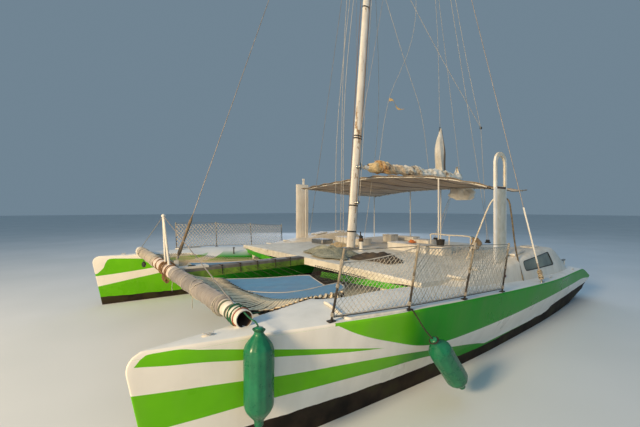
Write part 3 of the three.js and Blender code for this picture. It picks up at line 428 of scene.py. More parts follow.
def hullFinish():
    # polyester gelcoat sprayed in a mould, off-white with lime stripes, its gloss gone a little
    # chalky; dark bottom paint with slime below the boot line; gritty deck paint on what faces up
    add, place, wire = newMaterial("sprayedGelcoatStripes")
    span, reach, rise = 0.3, 11.6, 1.5
    xyz = add("SeparateXYZ", {"Vector": place})
    aft = add("Math", {0: 5.4 + span, 1: xyz.outputs["X"]}, operation="SUBTRACT")
    share = add("Math", {0: aft, 1: reach}, operation="DIVIDE")
    height = add("Math", {0: xyz.outputs["Z"], 1: rise}, operation="DIVIDE")
    off = add("Math", {0: xyz.outputs["Y"]}, operation="ABSOLUTE")
    outboard = add("Math", {0: off, 1: 3.5}, operation="GREATER_THAN")
    inboard = add("Math", {0: 1.0, 1: outboard}, operation="SUBTRACT")

    def heightLine(line):
        scaled = [((a + span) / reach, z / rise) for a, z in line]
        return add("FloatCurve", {"Value": share}, points=scaled)

    green = None
    for stripe in stripes.values():
        below = add("Math", {0: height, 1: heightLine(stripe["top"])}, operation="LESS_THAN")
        above = add("Math", {0: height, 1: heightLine(stripe["low"])}, operation="GREATER_THAN")
        inside = add("Math", {0: below, 1: above}, operation="MULTIPLY")
        side = outboard if stripe["outboard"] else inboard
        here = add("Math", {0: inside, 1: side}, operation="MULTIPLY")
        green = here if green is None else add("Math", {0: green, 1: here}, operation="MAXIMUM")
    tone = add("TexNoise", {"Vector": place, "Scale": 0.9, "Detail": 4.0, "Roughness": 0.6})
    white = add("ValToRGB", {"Fac": tone}, stops=[(0.3, "#E8E2D7"), (0.7, "#F0ECE4")])
    lime = add("ValToRGB", {"Fac": tone}, stops=[(0.3, "#5CAE0C"), (0.7, "#72C418")])
    # the lime is painted deep green farther aft, standing for the shadow that fell over the after topsides;
    # the bows keep the sunlit lime
    shadowGreen = add("ValToRGB", {"Fac": tone}, stops=[(0.3, "#0C8A10"), (0.7, "#229E16")])
    # edge of that painted shadow, where the sunlit lime gives way to the shaded green
    shadowEdge = add("MapRange", {"Value": xyz.outputs["X"], "From Min": 2.35, "From Max": 2.75})
    greens = add("Mix", {"Factor": shadowEdge, 6: shadowGreen, 7: lime}, data_type="RGBA")
    coat = add("Mix", {"Factor": green, 6: white, 7: greens}, data_type="RGBA")
    worn = grime(add, place, coat, "#857B60", 0.14, 0.8)
    # grit of about 1 mm in the deck paint, drawn at 8 mm so that it shows
    grit = add("TexNoise", {"Vector": place, "Scale": 130.0, "Detail": 2.0})
    tread = add("TexNoise", {"Vector": place, "Scale": 1.6, "Detail": 7.0, "Roughness": 0.7})
    deck = add("ValToRGB", {"Fac": tread}, stops=[(0.3, "#D3D6D4"), (0.5, "#DEE1E0"), (0.75, "#E7E8E5")])
    facing = add("SeparateXYZ", {"Vector": add("NewGeometry").outputs["Normal"]})
    level = add("MapRange", {"Value": facing.outputs["Z"], "From Min": 0.86, "From Max": 0.95})
    topside = add("Mix", {"Factor": level, 6: worn, 7: deck}, data_type="RGBA")
    # boot line, wavy where weed and slime have crept up
    creep = add("TexNoise", {"Vector": place, "Scale": 3.5, "Detail": 5.0})
    lift = add("MapRange", {"Value": creep, "From Min": 0.3, "From Max": 0.7,
        "To Min": -0.006, "To Max": 0.008})
    outer = add("Mix", {"Factor": outboard, 2: heightLine(innerBootLine), 3: heightLine(bootLine)})
    edge = add("Math", {0: outer, 1: lift}, operation="ADD")
    wet = add("Math", {0: height, 1: edge}, operation="LESS_THAN")
    slime = add("ValToRGB", {"Fac": creep}, stops=[(0.35, "#1D1916"), (0.55, "#332A22"), (0.75, "#3B3A24")])
    whole = add("Mix", {"Factor": wet, 6: topside, 7: slime}, data_type="RGBA")
    peel = add("TexNoise", {"Vector": place, "Scale": 7.0, "Detail": 2.0})
    rough = add("MapRange", {"Value": tone, "From Min": 0.3, "From Max": 0.7, "To Min": 0.22, "To Max": 0.4})
    dull = add("Math", {0: level, 1: wet}, operation="MAXIMUM")
    roughest = add("Mix", {"Factor": dull, 2: rough, 3: 0.72})
    grain = add("Mix", {"Factor": level, 2: peel, 3: grit})
    return wire(whole, roughest, (grain, 0.0012, 0.6), Specular_IOR_Level=0.14)


def deckFinish():
    # deck paint rolled on with grit: off-white, trodden grey and tan in patches
    add, place, wire = newMaterial("rolledDeckPaint")
    tread = add("TexNoise", {"Vector": place, "Scale": 1.3, "Detail": 7.0, "Roughness": 0.7})
    deck = add("ValToRGB", {"Fac": tread}, stops=[(0.3, "#CFCBC0"), (0.5, "#DCD8CC"), (0.75, "#E5E2D9")])
    grit = add("TexNoise", {"Vector": place, "Scale": 130.0, "Detail": 2.0})
    return wire(grime(add, place, deck, "#8A7F6A", 0.35, 1.1, 1.0), (tread, 0.55, 0.8), (grit, 0.0012, 0.6))


def sparFinish():
    # aluminium extrusion sprayed white, worn through to brown primer in patches and rubbed dark by lines
    add, place, wire = newMaterial("sprayedAluminiumSpar")
    drawn = add("Mapping", {"Vector": place, "Scale": (1, 1, 0.28)})
    wear = add("TexNoise", {"Vector": drawn, "Scale": 7.0, "Detail": 8.0, "Roughness": 0.68})
    mask = add("MapRange", {"Value": wear, "From Min": 0.60, "From Max": 0.63})
    tone = add("TexNoise", {"Vector": place, "Scale": 1.5, "Detail": 3.0})
    white = add("ValToRGB", {"Fac": tone}, stops=[(0.3, "#E6DFD2"), (0.7, "#F4EFE5")])
    primer = add("ValToRGB", {"Fac": tone}, stops=[(0.3, "#8A6B4A"), (0.7, "#B89B78")])
    mixed = add("Mix", {"Factor": mask, 6: white, 7: primer}, data_type="RGBA")
    return wire(grime(add, place, mixed, "#6F6353", 0.3, 2.0, 0.1), (wear, 0.3, 0.55), (mask, 0.0006, 0.5))


def metalFinish(name, hexColour, second, rough, scale):
    # bare metal: two tones of the same metal in fine patches
    add, place, wire = newMaterial(name)
    streak = add("TexNoise", {"Vector": place, "Scale": scale, "Detail": 5.0})
    ramp = add("ValToRGB", {"Fac": streak}, stops=[(0.3, hexColour), (0.7, second)])
    return wire(grime(add, place, ramp, "#4E463C", 0.35, 5.0, 0.5), (streak, *rough), (streak, 0.0004, 0.4),
        Metallic=1.0)


def ropeFinish(name, hexColour, second, pitch, strands, rough, metallic=0.0):
    # laid rope or wire: strands wound round at a pitch in metres along U, the ring length is V
    add, place, wire = newMaterial(name)
    uv = add("SeparateXYZ", {"Vector": add("TexCoord").outputs["UV"]})
    turn = add("Math", {0: uv.outputs["X"], 1: fullTurn * strands / pitch / 3}, operation="MULTIPLY")
    round_ = add("Math", {0: uv.outputs["Y"], 1: fullTurn / pitch * 1.3}, operation="MULTIPLY")
    wound = add("Math", {0: turn, 1: round_}, operation="ADD")
    wave = add("Math", {0: wound}, operation="SINE")
    lifted = add("MapRange", {"Value": wave, "From Min": -1.0, "From Max": 1.0})
    fuzz = add("TexNoise", {"Vector": place, "Scale": 9.0, "Detail": 5.0})
    both = add("Math", {0: lifted, 1: fuzz}, operation="MULTIPLY")
    ramp = add("ValToRGB", {"Fac": both}, stops=[(0.1, second), (0.55, hexColour)])
    return wire(ramp, (fuzz, rough - 0.1, rough + 0.1), (lifted, 0.0015, 0.8), Metallic=metallic)


def clothFinish(name, hexColour, second, dirt, threads=160.0, share=0.35, sheen=0.25, depth=0.0012,
        rough=(0.7, 0.9)):
    # woven cloth: warp and weft at threads per metre on the UV map, drawn coarser
    # than the real 0.4 mm yarn so that it shows; sun-bleached in patches
    add, place, wire = newMaterial(name)
    uv = add("TexCoord").outputs["UV"]
    warp = add("TexWave", {"Vector": uv, "Scale": threads / 6.283, "Distortion": 0.6, "Detail": 1.0},
        wave_type="BANDS", bands_direction="X")
    weft = add("TexWave", {"Vector": uv, "Scale": threads / 6.283, "Distortion": 0.6, "Detail": 1.0},
        wave_type="BANDS", bands_direction="Y")
    weave = add("Math", {0: warp.outputs["Fac"], 1: weft.outputs["Fac"]}, operation="MAXIMUM")
    patch = add("TexNoise", {"Vector": place, "Scale": 1.7, "Detail": 6.0, "Roughness": 0.62})
    ramp = add("ValToRGB", {"Fac": patch}, stops=[(0.35, hexColour), (0.65, second)])
    shade = add("MapRange", {"Value": weave, "To Min": 0.86, "To Max": 1.0})
    grey = add("CombineColor", {0: shade, 1: shade, 2: shade})
    woven = add("Mix", {"Factor": 1.0, 6: ramp, 7: grey}, data_type="RGBA", blend_type="MULTIPLY")
    return wire(grime(add, place, woven, dirt, share, 2.2, 1.0), (patch, *rough), (weave, depth, 0.7),
        Sheen_Weight=sheen, Sheen_Roughness=0.5)


def laceFinish():
    # flat polyester lacing: beige on the tops of the cords and brown down their sides, painted shade that
    # follows which way each face turns, broken up by a noise
    add, place, wire = newMaterial("polyesterLacingPaintedShade")
    facing = add("SeparateXYZ", {"Vector": add("NewGeometry").outputs["Normal"]})
    patch = add("TexNoise", {"Vector": place, "Scale": 14.0, "Detail": 5.0})
    wobble = add("Math", {0: patch, 1: 0.5}, operation="MULTIPLY")
    level = add("Math", {0: facing.outputs["Z"], 1: wobble}, operation="ADD")
    # faces turned up come out beige and faces turned away come out brown: painted shade
    ramp = add("ValToRGB", {"Fac": level}, stops=[(0.66, "#1E160D"), (0.92, "#8E7452"), (1.16, "#F2DDB8")])
    return wire(ramp, (patch, 0.75, 0.9), (patch, 0.002, 0.6))


def boardFinish():
    # two-pack paint over plywood: pale beige in the middle, new
    # white along both edges, bare brown wood round the top
    add, place, wire = newMaterial("sandedBoardPaint")
    xyz = add("SeparateXYZ", {"Vector": place})
    patch = add("TexNoise", {"Vector": place, "Scale": 7.0, "Detail": 7.0})
    away = add("Math", {0: xyz.outputs["X"], 1: 0.96}, operation="ADD")
    far = add("Math", {0: away}, operation="ABSOLUTE")
    rim = add("MapRange", {"Value": far, "From Min": 0.2, "From Max": 0.21})
    beige = add("ValToRGB", {"Fac": patch}, stops=[(0.35, "#DDCFB4"), (0.65, "#F0E6D2")])
    white = add("ValToRGB", {"Fac": patch}, stops=[(0.35, "#EDE8DD"), (0.65, "#F8F5EE")])
    body = add("Mix", {"Factor": rim, 6: beige, 7: white}, data_type="RGBA")
    raised = add("MapRange", {"Value": xyz.outputs["Z"], "From Min": 2.905, "From Max": 2.912})
    head = add("MapRange", {"Value": xyz.outputs["Z"], "From Min": 2.955, "From Max": 2.95})
    inner = add("Math", {0: 1.0, 1: rim}, operation="SUBTRACT")
    band = add("Math", {0: raised, 1: head}, operation="MULTIPLY")
    bare = add("Math", {0: band, 1: inner}, operation="MULTIPLY")
    wood = add("ValToRGB", {"Fac": patch}, stops=[(0.35, "#2E1C12"), (0.65, "#6A4128")])
    whole = add("Mix", {"Factor": bare, 6: body, 7: wood}, data_type="RGBA")
    return wire(grime(add, place, whole, "#B0A48E", 0.3, 1.5, 0.3), (patch, 0.35, 0.55), (patch, 0.0012, 0.5))


def paneFinish():
    # cast acrylic smoked grey-green, almost opaque, with fine scratches; its light grey-green is painted
    # reflection of the sky
    add, place, wire = newMaterial("acrylicPaintedSkyReflection")
    haze = add("TexNoise", {"Vector": place, "Scale": 3.0, "Detail": 6.0})
    ramp = add("ValToRGB", {"Fac": haze}, stops=[(0.3, "#646C64"), (0.7, "#858D82")])
    return wire(ramp, (haze, 0.08, 0.2), IOR=1.49)


def vinylFinish():
    # green vinyl, rotation moulded: a soft gloss with scuffs, paler in patches
    add, place, wire = newMaterial("mouldedGreenVinyl")
    scuff = add("TexNoise", {"Vector": place, "Scale": 6.0, "Detail": 8.0, "Roughness": 0.7})
    ramp = add("ValToRGB", {"Fac": scuff}, stops=[(0.3, "#0C5A40"), (0.5, "#126B4A"), (0.72, "#1F8058")])
    return wire(grime(add, place, ramp, "#3F5A44", 0.2, 3.0, 0.3), (scuff, 0.2, 0.42), (scuff, 0.0015, 0.5))


def splitFinish(name, axis, edge, noise, first, second, rough, bump, jitter=0.0, fine=None, dirt=None,
        **constants):
    # two ramps of one noise, one on each side of an edge along
    # an axis; jitter lets the noise break that edge up
    add, place, wire = newMaterial(name)
    patch = add("TexNoise", {"Vector": place, **noise})
    along = add("SeparateXYZ", {"Vector": place}).outputs[axis]
    broken = add("Math", {0: patch, 1: jitter}, operation="MULTIPLY")
    level = add("Math", {0: along, 1: broken}, operation="ADD")
    share = add("MapRange", {"Value": level, "From Min": edge[0], "From Max": edge[1]})
    ramps = [add("ValToRGB", {"Fac": patch}, stops=stops) for stops in (first, second)]
    colour = add("Mix", {"Factor": share, 6: ramps[0], 7: ramps[1]}, data_type="RGBA")
    if dirt:
        colour = grime(add, place, colour, *dirt)
    relief = add("TexNoise", {"Vector": place, **fine}) if fine else patch
    return wire(colour, (patch, *rough), (relief, *bump), **constants)


finish = {
    "hull": hullFinish(),
    "deck": deckFinish(),
    # gelcoat moulded and left cream on the coachroofs, dusty on top
    "roof": paintedFinish("mouldedCreamGelcoat", "#E0D9CB", "#ECE7DC", "#9A8F7C", 0.28, (0.3, 0.5), 9.0,
        0.001),
    # small gelcoat mouldings: lids, boxes and beams, whiter
    "box": paintedFinish("mouldedWhiteGelcoat", "#DAD5CA", "#E9E6DE", "#857A68", 0.4, (0.32, 0.55), 14.0,
        0.001),
    "spar": sparFinish(),
    # thin tube sprayed white over aluminium, chalky
    "tube": paintedFinish("sprayedAluminiumTube", "#DEDAD0", "#EBE8E0", "#7E7464", 0.35, (0.35, 0.55), 30.0,
        0.0004, 0.1),
    # aluminium sheet and box section, mill finish gone grey
    "bareAluminium": metalFinish("milledAluminium", "#8F8E8A", "#B3B2AE", (0.35, 0.55), 25.0),
    # box section: chalky grey along its top edge, lime gelcoat below it painted dark olive as painted shade
    "spineBox": splitFinish("sprayedSpineBox", "Z", (1.268, 1.274),
        {"Scale": 5.0, "Detail": 7.0, "Roughness": 0.65},
        [(0.35, "#4E6E22"), (0.65, "#7DA331")], [(0.35, "#4F4C47"), (0.65, "#77736B")],
        (0.45, 0.65), (0.001, 0.5), dirt=("#5A5140", 0.35, 1.5, 0.3)),
    "board": boardFinish(),
    # bent tube: sprayed white on its inboard leg, wound with weathered brown tape on the outboard one
    "guard": splitFinish("tapedSteelTube", "Y", (3.5, 3.56), {"Scale": 16.0, "Detail": 6.0},
        [(0.35, "#B9AB90"), (0.5, "#E6DFD0")], [(0.35, "#3E3324"), (0.65, "#7A6A4B")],
        (0.45, 0.7), (0.001, 0.6)),
    # stainless tube, drawn and polished, with tea stains
    "stainless": metalFinish("polishedStainless", "#A9A8A4", "#CFCFCC", (0.15, 0.32), 30.0),
    # galvanised steel posts: rust-brown and dark near the deck, wound with tape higher up, painted pale there
    # as painted sunlight
    "post": splitFinish("galvanisedSteelPost", "Z", (1.72, 1.92), {"Scale": 9.0, "Detail": 6.0},
        [(0.35, "#24221F"), (0.5, "#3A3530"), (0.7, "#57493D")], [(0.35, "#6E675B"), (0.65, "#A09683")],
        (0.5, 0.75), (0.002, 0.6), 0.35, Metallic=0.25),
    # stainless wire rope of 19 wires, dull with salt
    "wire": ropeFinish("laidStainlessWire", "#CFC6BC", "#8A8178", 0.05, 3, 0.5, 0.6),
    # foils: white two-pack paint over plywood, filled and sanded
    "foil": paintedFinish("sandedFoilPaint", "#EFE6D6", "#F8F2E6", "#B0A48E", 0.35, (0.35, 0.55), 8.0,
        0.0012),
    "pane": paneFinish(),
    "vinyl": vinylFinish(),
    # old sail canvas, ochre, dusty in patches
    "canvas": clothFinish("wovenOchreCanvas", "#B49460", "#D6C091", "#7A6646", 140.0, 0.5),
    # polyester sailcloth, calendered, off-white, greyer in patches
    "sail": clothFinish("wovenPolyesterSail", "#E9E0CE", "#F7F1E4", "#A99C84", 180.0, 0.35, 0.15, 0.0008,
        (0.55, 0.75)),
    # acrylic awning cloth, taupe, paler in patches; made warm and bright as painted light for the sun that
    # shines through it
    "awning": clothFinish("awningClothPaintedSunThrough", "#A5835A", "#CBA97E", "#74573A", 150.0, 0.45),
    # woven tape sewn over the awning's seams, dark brown
    "seamTape": clothFinish("wovenSeamTape", "#33271A", "#4A3A28", "#241B12", 220.0, 0.4),
    # coated polyester sheet of the trampolines, painted the blue of sky-lit shade, paler in patches
    "sheet": clothFinish("coatedSheetPaintedSkyShade", "#2C759E", "#4B8FB5", "#4C6C7E", 120.0, 0.3, 0.05, 0.001,
        (0.45, 0.65)),
    "lace": laceFinish(),
    # dark brown-grey cloth for the strip along the sail's leech: painted shadow of the leaf's shaded aft fold
    "leech": clothFinish("leechPaintedShadowCloth", "#5E5246", "#7C6D5C", "#40362C", 180.0, 0.4),
    # lime gelcoat of the panel under the deck's front edge, painted a deeper green as painted shade
    "limePanel": paintedFinish("limeGelcoatPaintedShade", "#2F9A26", "#59B41E", "#4A5A30", 0.35, (0.3, 0.5), 12.0,
        0.001),
    # heaps of old net: twine grey-green with dried weed, and tarred dark brown
    "greyNet": clothFinish("heapedGreyNet", "#7D8070", "#A9A893", "#3F4237", 40.0, 0.7, 0.0, 0.006),
    "brownNet": clothFinish("heapedTarredNet", "#3C332A", "#675845", "#191410", 40.0, 0.8, 0.0, 0.006),
    "brownCanvas": clothFinish("waxedBrownCanvas", "#6B5B47", "#94836A", "#3A332A", 150.0, 0.5),
    "orangeCloth": clothFinish("wovenOrangeCloth", "#B4571F", "#D97A38", "#5E3A1F", 150.0, 0.4),
    "maroon": paintedFinish("mouldedMaroonCap", "#5A1420", "#74202C", "#3A2420", 0.3, (0.35, 0.5)),
    # the same sailcloth furled for years: ochre and brown-stained towards the mast, cream and grey farther
    # aft, dark brown in patches
    "furled": splitFinish("stainedPolyesterSail", "X", (-1.6, -0.2),
        {"Scale": 2.6, "Detail": 7.0, "Roughness": 0.66},
        [(0.36, "#7A6048"), (0.42, "#E0D2B8"), (0.53, "#FFF8EA")],
        [(0.38, "#5E3F20"), (0.44, "#D09C56"), (0.55, "#F7D59C")], (0.65, 0.85), (0.008, 0.7), 2.4,
        {"Scale": 16.0, "Detail": 5.0, "Distortion": 0.8}, Sheen_Weight=0.15),
    # doubled canvas along the awning's edges, darker than the awning
    "awningHem": clothFinish("sewnCanvasHem", "#7E6E58", "#A39076", "#5A4C38", 180.0, 0.4),
    # strips of old sailcloth wound round the beam, cream gone beige
    "wrap": clothFinish("woundCottonCanvas", "#A99E8C", "#C6BCA8", "#7A6E5C", 120.0, 0.45),
    # the same on the port half, painted darker grey as painted shadow
    "wrapInShadow": clothFinish("woundCanvasPaintedShadow", "#7C7876", "#9F9995", "#504A47", 120.0, 0.45),
    # the same round the beam's middle, bleached nearly white with a pink cast
    "collar": clothFinish("bleachedCottonCanvas", "#D9C9BD", "#EBE2D9", "#A07F6C", 120.0, 0.4),
    # woven polyester strap, dark, paler in patches
    "strap": clothFinish("wovenPolyesterStrap", "#3A4A3C", "#5D6B4C", "#1D1F1B", 260.0, 0.6),
    # bare steel or alloy inside the tubes, brown with rust and dirt
    "rust": paintedFinish("rustedSteelBore", "#2B1E16", "#4A3122", "#6E4A30", 0.5, (0.7, 0.9), 12.0, 0.003),
    # rope of polyester, three strands, beige with age
    "rope": ropeFinish("laidPolyesterRope", "#D3C5AA", "#8C7D63", 0.036, 3, 0.85),
    "whiteRope": ropeFinish("braidedWhitePolyester", "#DDD9CF", "#9E978A", 0.02, 4, 0.8),
    "darkRope": ropeFinish("laidTarredRope", "#4A3E31", "#211C18", 0.036, 3, 0.9),
    "brownRope": ropeFinish("laidManilaRope", "#A4815A", "#5E452C", 0.036, 3, 0.9),
    "greenRope": ropeFinish("braidedGreenPolyester", "#2C7F58", "#123E2C", 0.02, 4, 0.8),
    "orangeRope": ropeFinish("braidedOrangePolyester", "#D86A2B", "#7A3414", 0.02, 4, 0.8),
    # twine of the rail nets, 4 mm, knotted
    "twine": ropeFinish("knottedNylonTwine", "#EDE6D6", "#B8AC98", 0.02, 3, 0.75),
    # black polyamide fittings, injection moulded
    "blackPlastic": paintedFinish("mouldedBlackPolyamide", "#1F1F20", "#2E2D2C", "#6B665C", 0.25, (0.35, 0.6),
        40.0, 0.0005),
    "rubber": paintedFinish("extrudedBlackRubber", "#1B1B1A", "#2A2927", "#5B564D", 0.2, (0.6, 0.8), 50.0,
        0.0005),
}


def bothSides(*names):
    return [f"{side}_{name}" for name in names for side in ("port", "starboard")]


nodeFinish = {
    "deck": ["bridge_deck", *bothSides("wing_deck")],
    "box": ["main_crossbeam", "aft_crossbeam", "aft_bench", *bothSides("locker", "locker_lid",
        "companion_hatch")],
    "tube": ["front_crossbeam", "seagull_striker", "forestay_bracket", "front_canopy_frame",
        "aft_canopy_frame", *bothSides("canopy_pole")],
    "spar": ["mast", "boom"],
    "spineBox": ["centre_spine"],
    "board": ["port_daggerboard"],
    "bareAluminium": ["mast_step", "tiller_tie_bar", *bothSides("tiller")],
    "stainless": ["gooseneck"],
    "guard": ["port_board_guard"],
    "wire": ["forestay", *bothSides("shroud", "striker_wire", "diamond_wire")],
    "foil": ["starboard_daggerboard", *bothSides("rudder")],
    "post": bothSides("guard_rail"),
    "pane": bothSides("window"),
    "roof": bothSides("coachroof"),
    "hull": bothSides("hull"),
    "vinyl": ["bow_fender", "side_fender"],
    "sail": ["furled_mainsail", "mainsail_head", *bothSides("trampoline")],
    "awning": ["canopy"],
    "twine": bothSides("rail_net"),
}
weldDistance = 0.0002
# the CAD pieces are welded and shaded smooth over every edge that bends by less than 32 degrees
smoothing = bpy.data.node_groups.new("smoothUnderAngle", "GeometryNodeTree")
for way in ("INPUT", "OUTPUT"):
    smoothing.interface.new_socket("Geometry", in_out=way, socket_type="NodeSocketGeometry")
add = partial(node, smoothing)
welded = add("GeometryNodeMergeByDistance", {"Geometry": add("NodeGroupInput"), "Distance": weldDistance})
bend = add("GeometryNodeInputMeshEdgeAngle")
gentle = add("FunctionNodeCompare", {0: bend.outputs["Unsigned Angle"], 1: math.radians(32)},
    operation="LESS_THAN")
softEdges = add("GeometryNodeSetShadeSmooth", {"Geometry": welded, "Shade Smooth": gentle}, domain="EDGE")
softFaces = add("GeometryNodeSetShadeSmooth", {"Geometry": softEdges, "Shade Smooth": True}, domain="FACE")
add("NodeGroupOutput", {0: softFaces})
bevelled = {"aft_bench": 0.012, "port_locker": 0.005, "starboard_locker": 0.005, "centre_spine": 0.01,
    "main_crossbeam": 0.012, "aft_crossbeam": 0.012}
for kind, names in nodeFinish.items():
    for name in names:
        piece = nodes[name]
        piece.data.materials.clear()
        piece.data.materials.append(finish[kind])
        if name in bevelled:
            weld = piece.modifiers.new("weld", "WELD")
            weld.merge_threshold = weldDistance
            bevel = piece.modifiers.new("bevel", "BEVEL")
            bevel.width, bevel.segments, bevel.limit_method = bevelled[name], 2, "ANGLE"
            bevel.angle_limit = math.radians(50)
        soft = piece.modifiers.new("smooth", "NODES")
        soft.node_group = smoothing
print("finishes set")


# Hull lines: heights and half widths at places aft of the stem foot
hull = {
    "centre": 3.5, "bowX": 5.4, "length": 11.025, "stemLean": 0.19, "stemCorner": 0.19, "deckEdge": 0.026,
    "inboardFall": 0.17,
    "at": [0, 0.4, 0.84, 1.7, 2.775, 3.925, 5.5, 7.5, 9.5, 9.95, 11.025],
    "sheer": [1.275, 1.268, 1.257, 1.252, 1.24, 1.18, 1.085, 0.99, 0.945, 0.936, 0.65],
    "deckHalf": [0.014, 0.095, 0.178, 0.43, 0.665, 0.712, 0.718, 0.705, 0.6, 0.575, 0.48],
    "chine": [0.8, 0.792, 0.78, 0.74, 0.68, 0.635, 0.612, 0.62, 0.645, 0.648, 0.56],
    "chineHalf": [0.013, 0.084, 0.158, 0.345, 0.52, 0.625, 0.64, 0.612, 0.545, 0.52, 0.462],
    "boot": [0.24, 0.24, 0.24, 0.235, 0.23, 0.232, 0.24, 0.262, 0.305, 0.32, 0.34],
    "bootHalf": [0.012, 0.062, 0.115, 0.205, 0.3, 0.385, 0.44, 0.452, 0.41, 0.4, 0.365],
    "keel": [-0.1, -0.23, -0.3, -0.38, -0.43, -0.45, -0.45, -0.39, -0.22, -0.15, 0.07],
}
boards = {"at": 6.36, "offset": 0.12, "chord": 0.56, "thickness": 0.075, "gap": 0.006}


def hullLine(column, at):
    return readLines(hull, column, at)


def hullGrid(side):
    # half a section is a quarter ellipse from keel to boot line, a straight to the chine, a straight to the
    # deck edge, a rounded edge and a crowned deck; both halves make a ring, carried along the stations
    at = np.concatenate([np.linspace(0, 1.3, 40)[:-1], np.linspace(1.3, hull["length"], 110)])
    line = {c: hullLine(c, at)[:, None] for c in hull if isinstance(hull[c], list) and c != "at"}
    turn = np.linspace(0, np.pi / 2, 10)
    rise = np.linspace(0, 1, 7)[1:]
    flare = np.linspace(0, 1, 15)[1:]
    edge = np.minimum(hull["deckEdge"], line["deckHalf"] * 0.4)
    crown = np.minimum(0.045, line["deckHalf"] * 0.08)
    round_ = np.linspace(0, np.pi / 2, 5)[1:]
    across = np.array([0.75, 0.5, 0.25, 0.0])
    y = [line["bootHalf"] * np.sin(turn), lerp(line["bootHalf"], line["chineHalf"], rise),
        lerp(line["chineHalf"], line["deckHalf"], flare), line["deckHalf"] - edge * (1 - np.cos(round_)),
        (line["deckHalf"] - edge) * across]
    z = [line["boot"] - (line["boot"] - line["keel"]) * np.cos(turn), lerp(line["boot"], line["chine"], rise),
        lerp(line["chine"], line["sheer"] - edge, flare), line["sheer"] - edge * (1 - np.sin(round_)),
        line["sheer"] + crown * (1 - across ** 2)]
    y, z = np.concatenate(y, 1), np.concatenate(z, 1)
    # rounded top of the stem, its lean, and the sloping transom
    drop = np.clip(z - (line["sheer"] - hull["stemCorner"]), 0, hull["stemCorner"])
    corner = hull["stemCorner"] - np.sqrt(np.clip(hull["stemCorner"] ** 2 - drop ** 2, 0, None))
    a = at[:, None]
    lean = -hull["stemLean"] * z * np.clip(1 - a / 2.5, 0, None)
    stern = np.where(a > 9.95, np.minimum(0, z - 0.65) * 0.45 * (a - 9.95) / 1.075, 0)
    x = hull["bowX"] - (a + lean + corner * np.clip(1 - a / 1.2, 0, None) ** 2 + stern)
    half = np.stack([x, y, z], 2)
    ring = np.concatenate([half, half[:, -2:0:-1] * (1, -1, 1)], 1)
    # the deck falls away inboard beside the trampoline, most at its edge
    fall = np.clip((a - 2.1) / 0.5, 0, 1) * np.clip((4.5 - a) / 0.4, 0, 1) * hull["inboardFall"]
    share = np.clip(-ring[:, :, 1] / line["deckHalf"], 0, 1) ** 2
    ring[:, :, 2] -= fall * share * np.clip((ring[:, :, 2] - line["chine"]) / (line["sheer"] - line["chine"]),
        0, 1)
    # the stem edge is rounded by three narrower rings in front of the first
    turn = np.radians([85, 60, 30])[:, None]
    nose = np.stack([ring[0, :, 0] + 0.012 * np.sin(turn), ring[0, :, 1] * np.cos(turn),
        ring[0, :, 2] + 0 * turn], 2)
    ring = np.concatenate([nose, ring])
    ring[:, :, 1] = side * (hull["centre"] + ring[:, :, 1])
    return ring


def foilRing(chord, thickness, centreX, centreY, count=28):
    # symmetric foil, leading edge forward: half thickness
    # from a root and a polynomial of the share of the chord
    turn = ringAngles(count)
    share = (1 - np.cos(turn)) / 2
    half = thickness * 1.48 * (np.sqrt(share) - 0.42 * share - 1.172 * share ** 2 + 0.949 * share ** 3
        - 0.345 * share ** 4)
    half = np.maximum(half, 0.004)
    return np.stack([centreX + chord * (0.5 - share), centreY + np.where(turn <= np.pi, 1, -1) * half], 1)


def upright(ring, heights):
    # an outline carried straight up through the heights
    z = np.asarray(heights, float)
    return np.concatenate([np.broadcast_to(ring, (len(z), *ring.shape)),
        np.broadcast_to(z[:, None, None], (len(z), len(ring), 1))], 2)


def boardSlot(side):
    y = side * (hull["centre"] + boards["offset"])
    ring = foilRing(boards["chord"] + 2 * boards["gap"], boards["thickness"] + 2 * boards["gap"],
        hull["bowX"] - boards["at"], y)
    return gridPart(upright(ring, [-0.8, 2.0]))


roof = {
    "at": [4.45, 5.0, 6.25, 7.75, 8.5, 9.15, 9.78], "top": [1.19, 1.265, 1.42, 1.58, 1.585, 1.33, 1.0],
    "footHalf": [0.24, 0.33, 0.43, 0.47, 0.465, 0.44, 0.4], "topHalf": [0.15, 0.24, 0.32, 0.33, 0.32, 0.3,
        0.26],
    "footZ": 0.88, "thickness": 0.03, "window": [(6.89, 1.215), (8.42, 1.195), (8.23, 1.5), (6.84, 1.41)],
    "hatchAt": 7.08, "hatchHalf": (0.215, 0.175),
}


def roofTop(at):
    return readLines(roof, "top", at)


def roofSide(at, z):
    # half width of the roof's slanting side at a height
    foot, top = readLines(roof, "footHalf", at), readLines(roof, "topHalf", at) + 0.024
    return lerp(foot, top, np.clip((z - roof["footZ"]) / (roofTop(at) - 0.064 - roof["footZ"]), 0, 1))


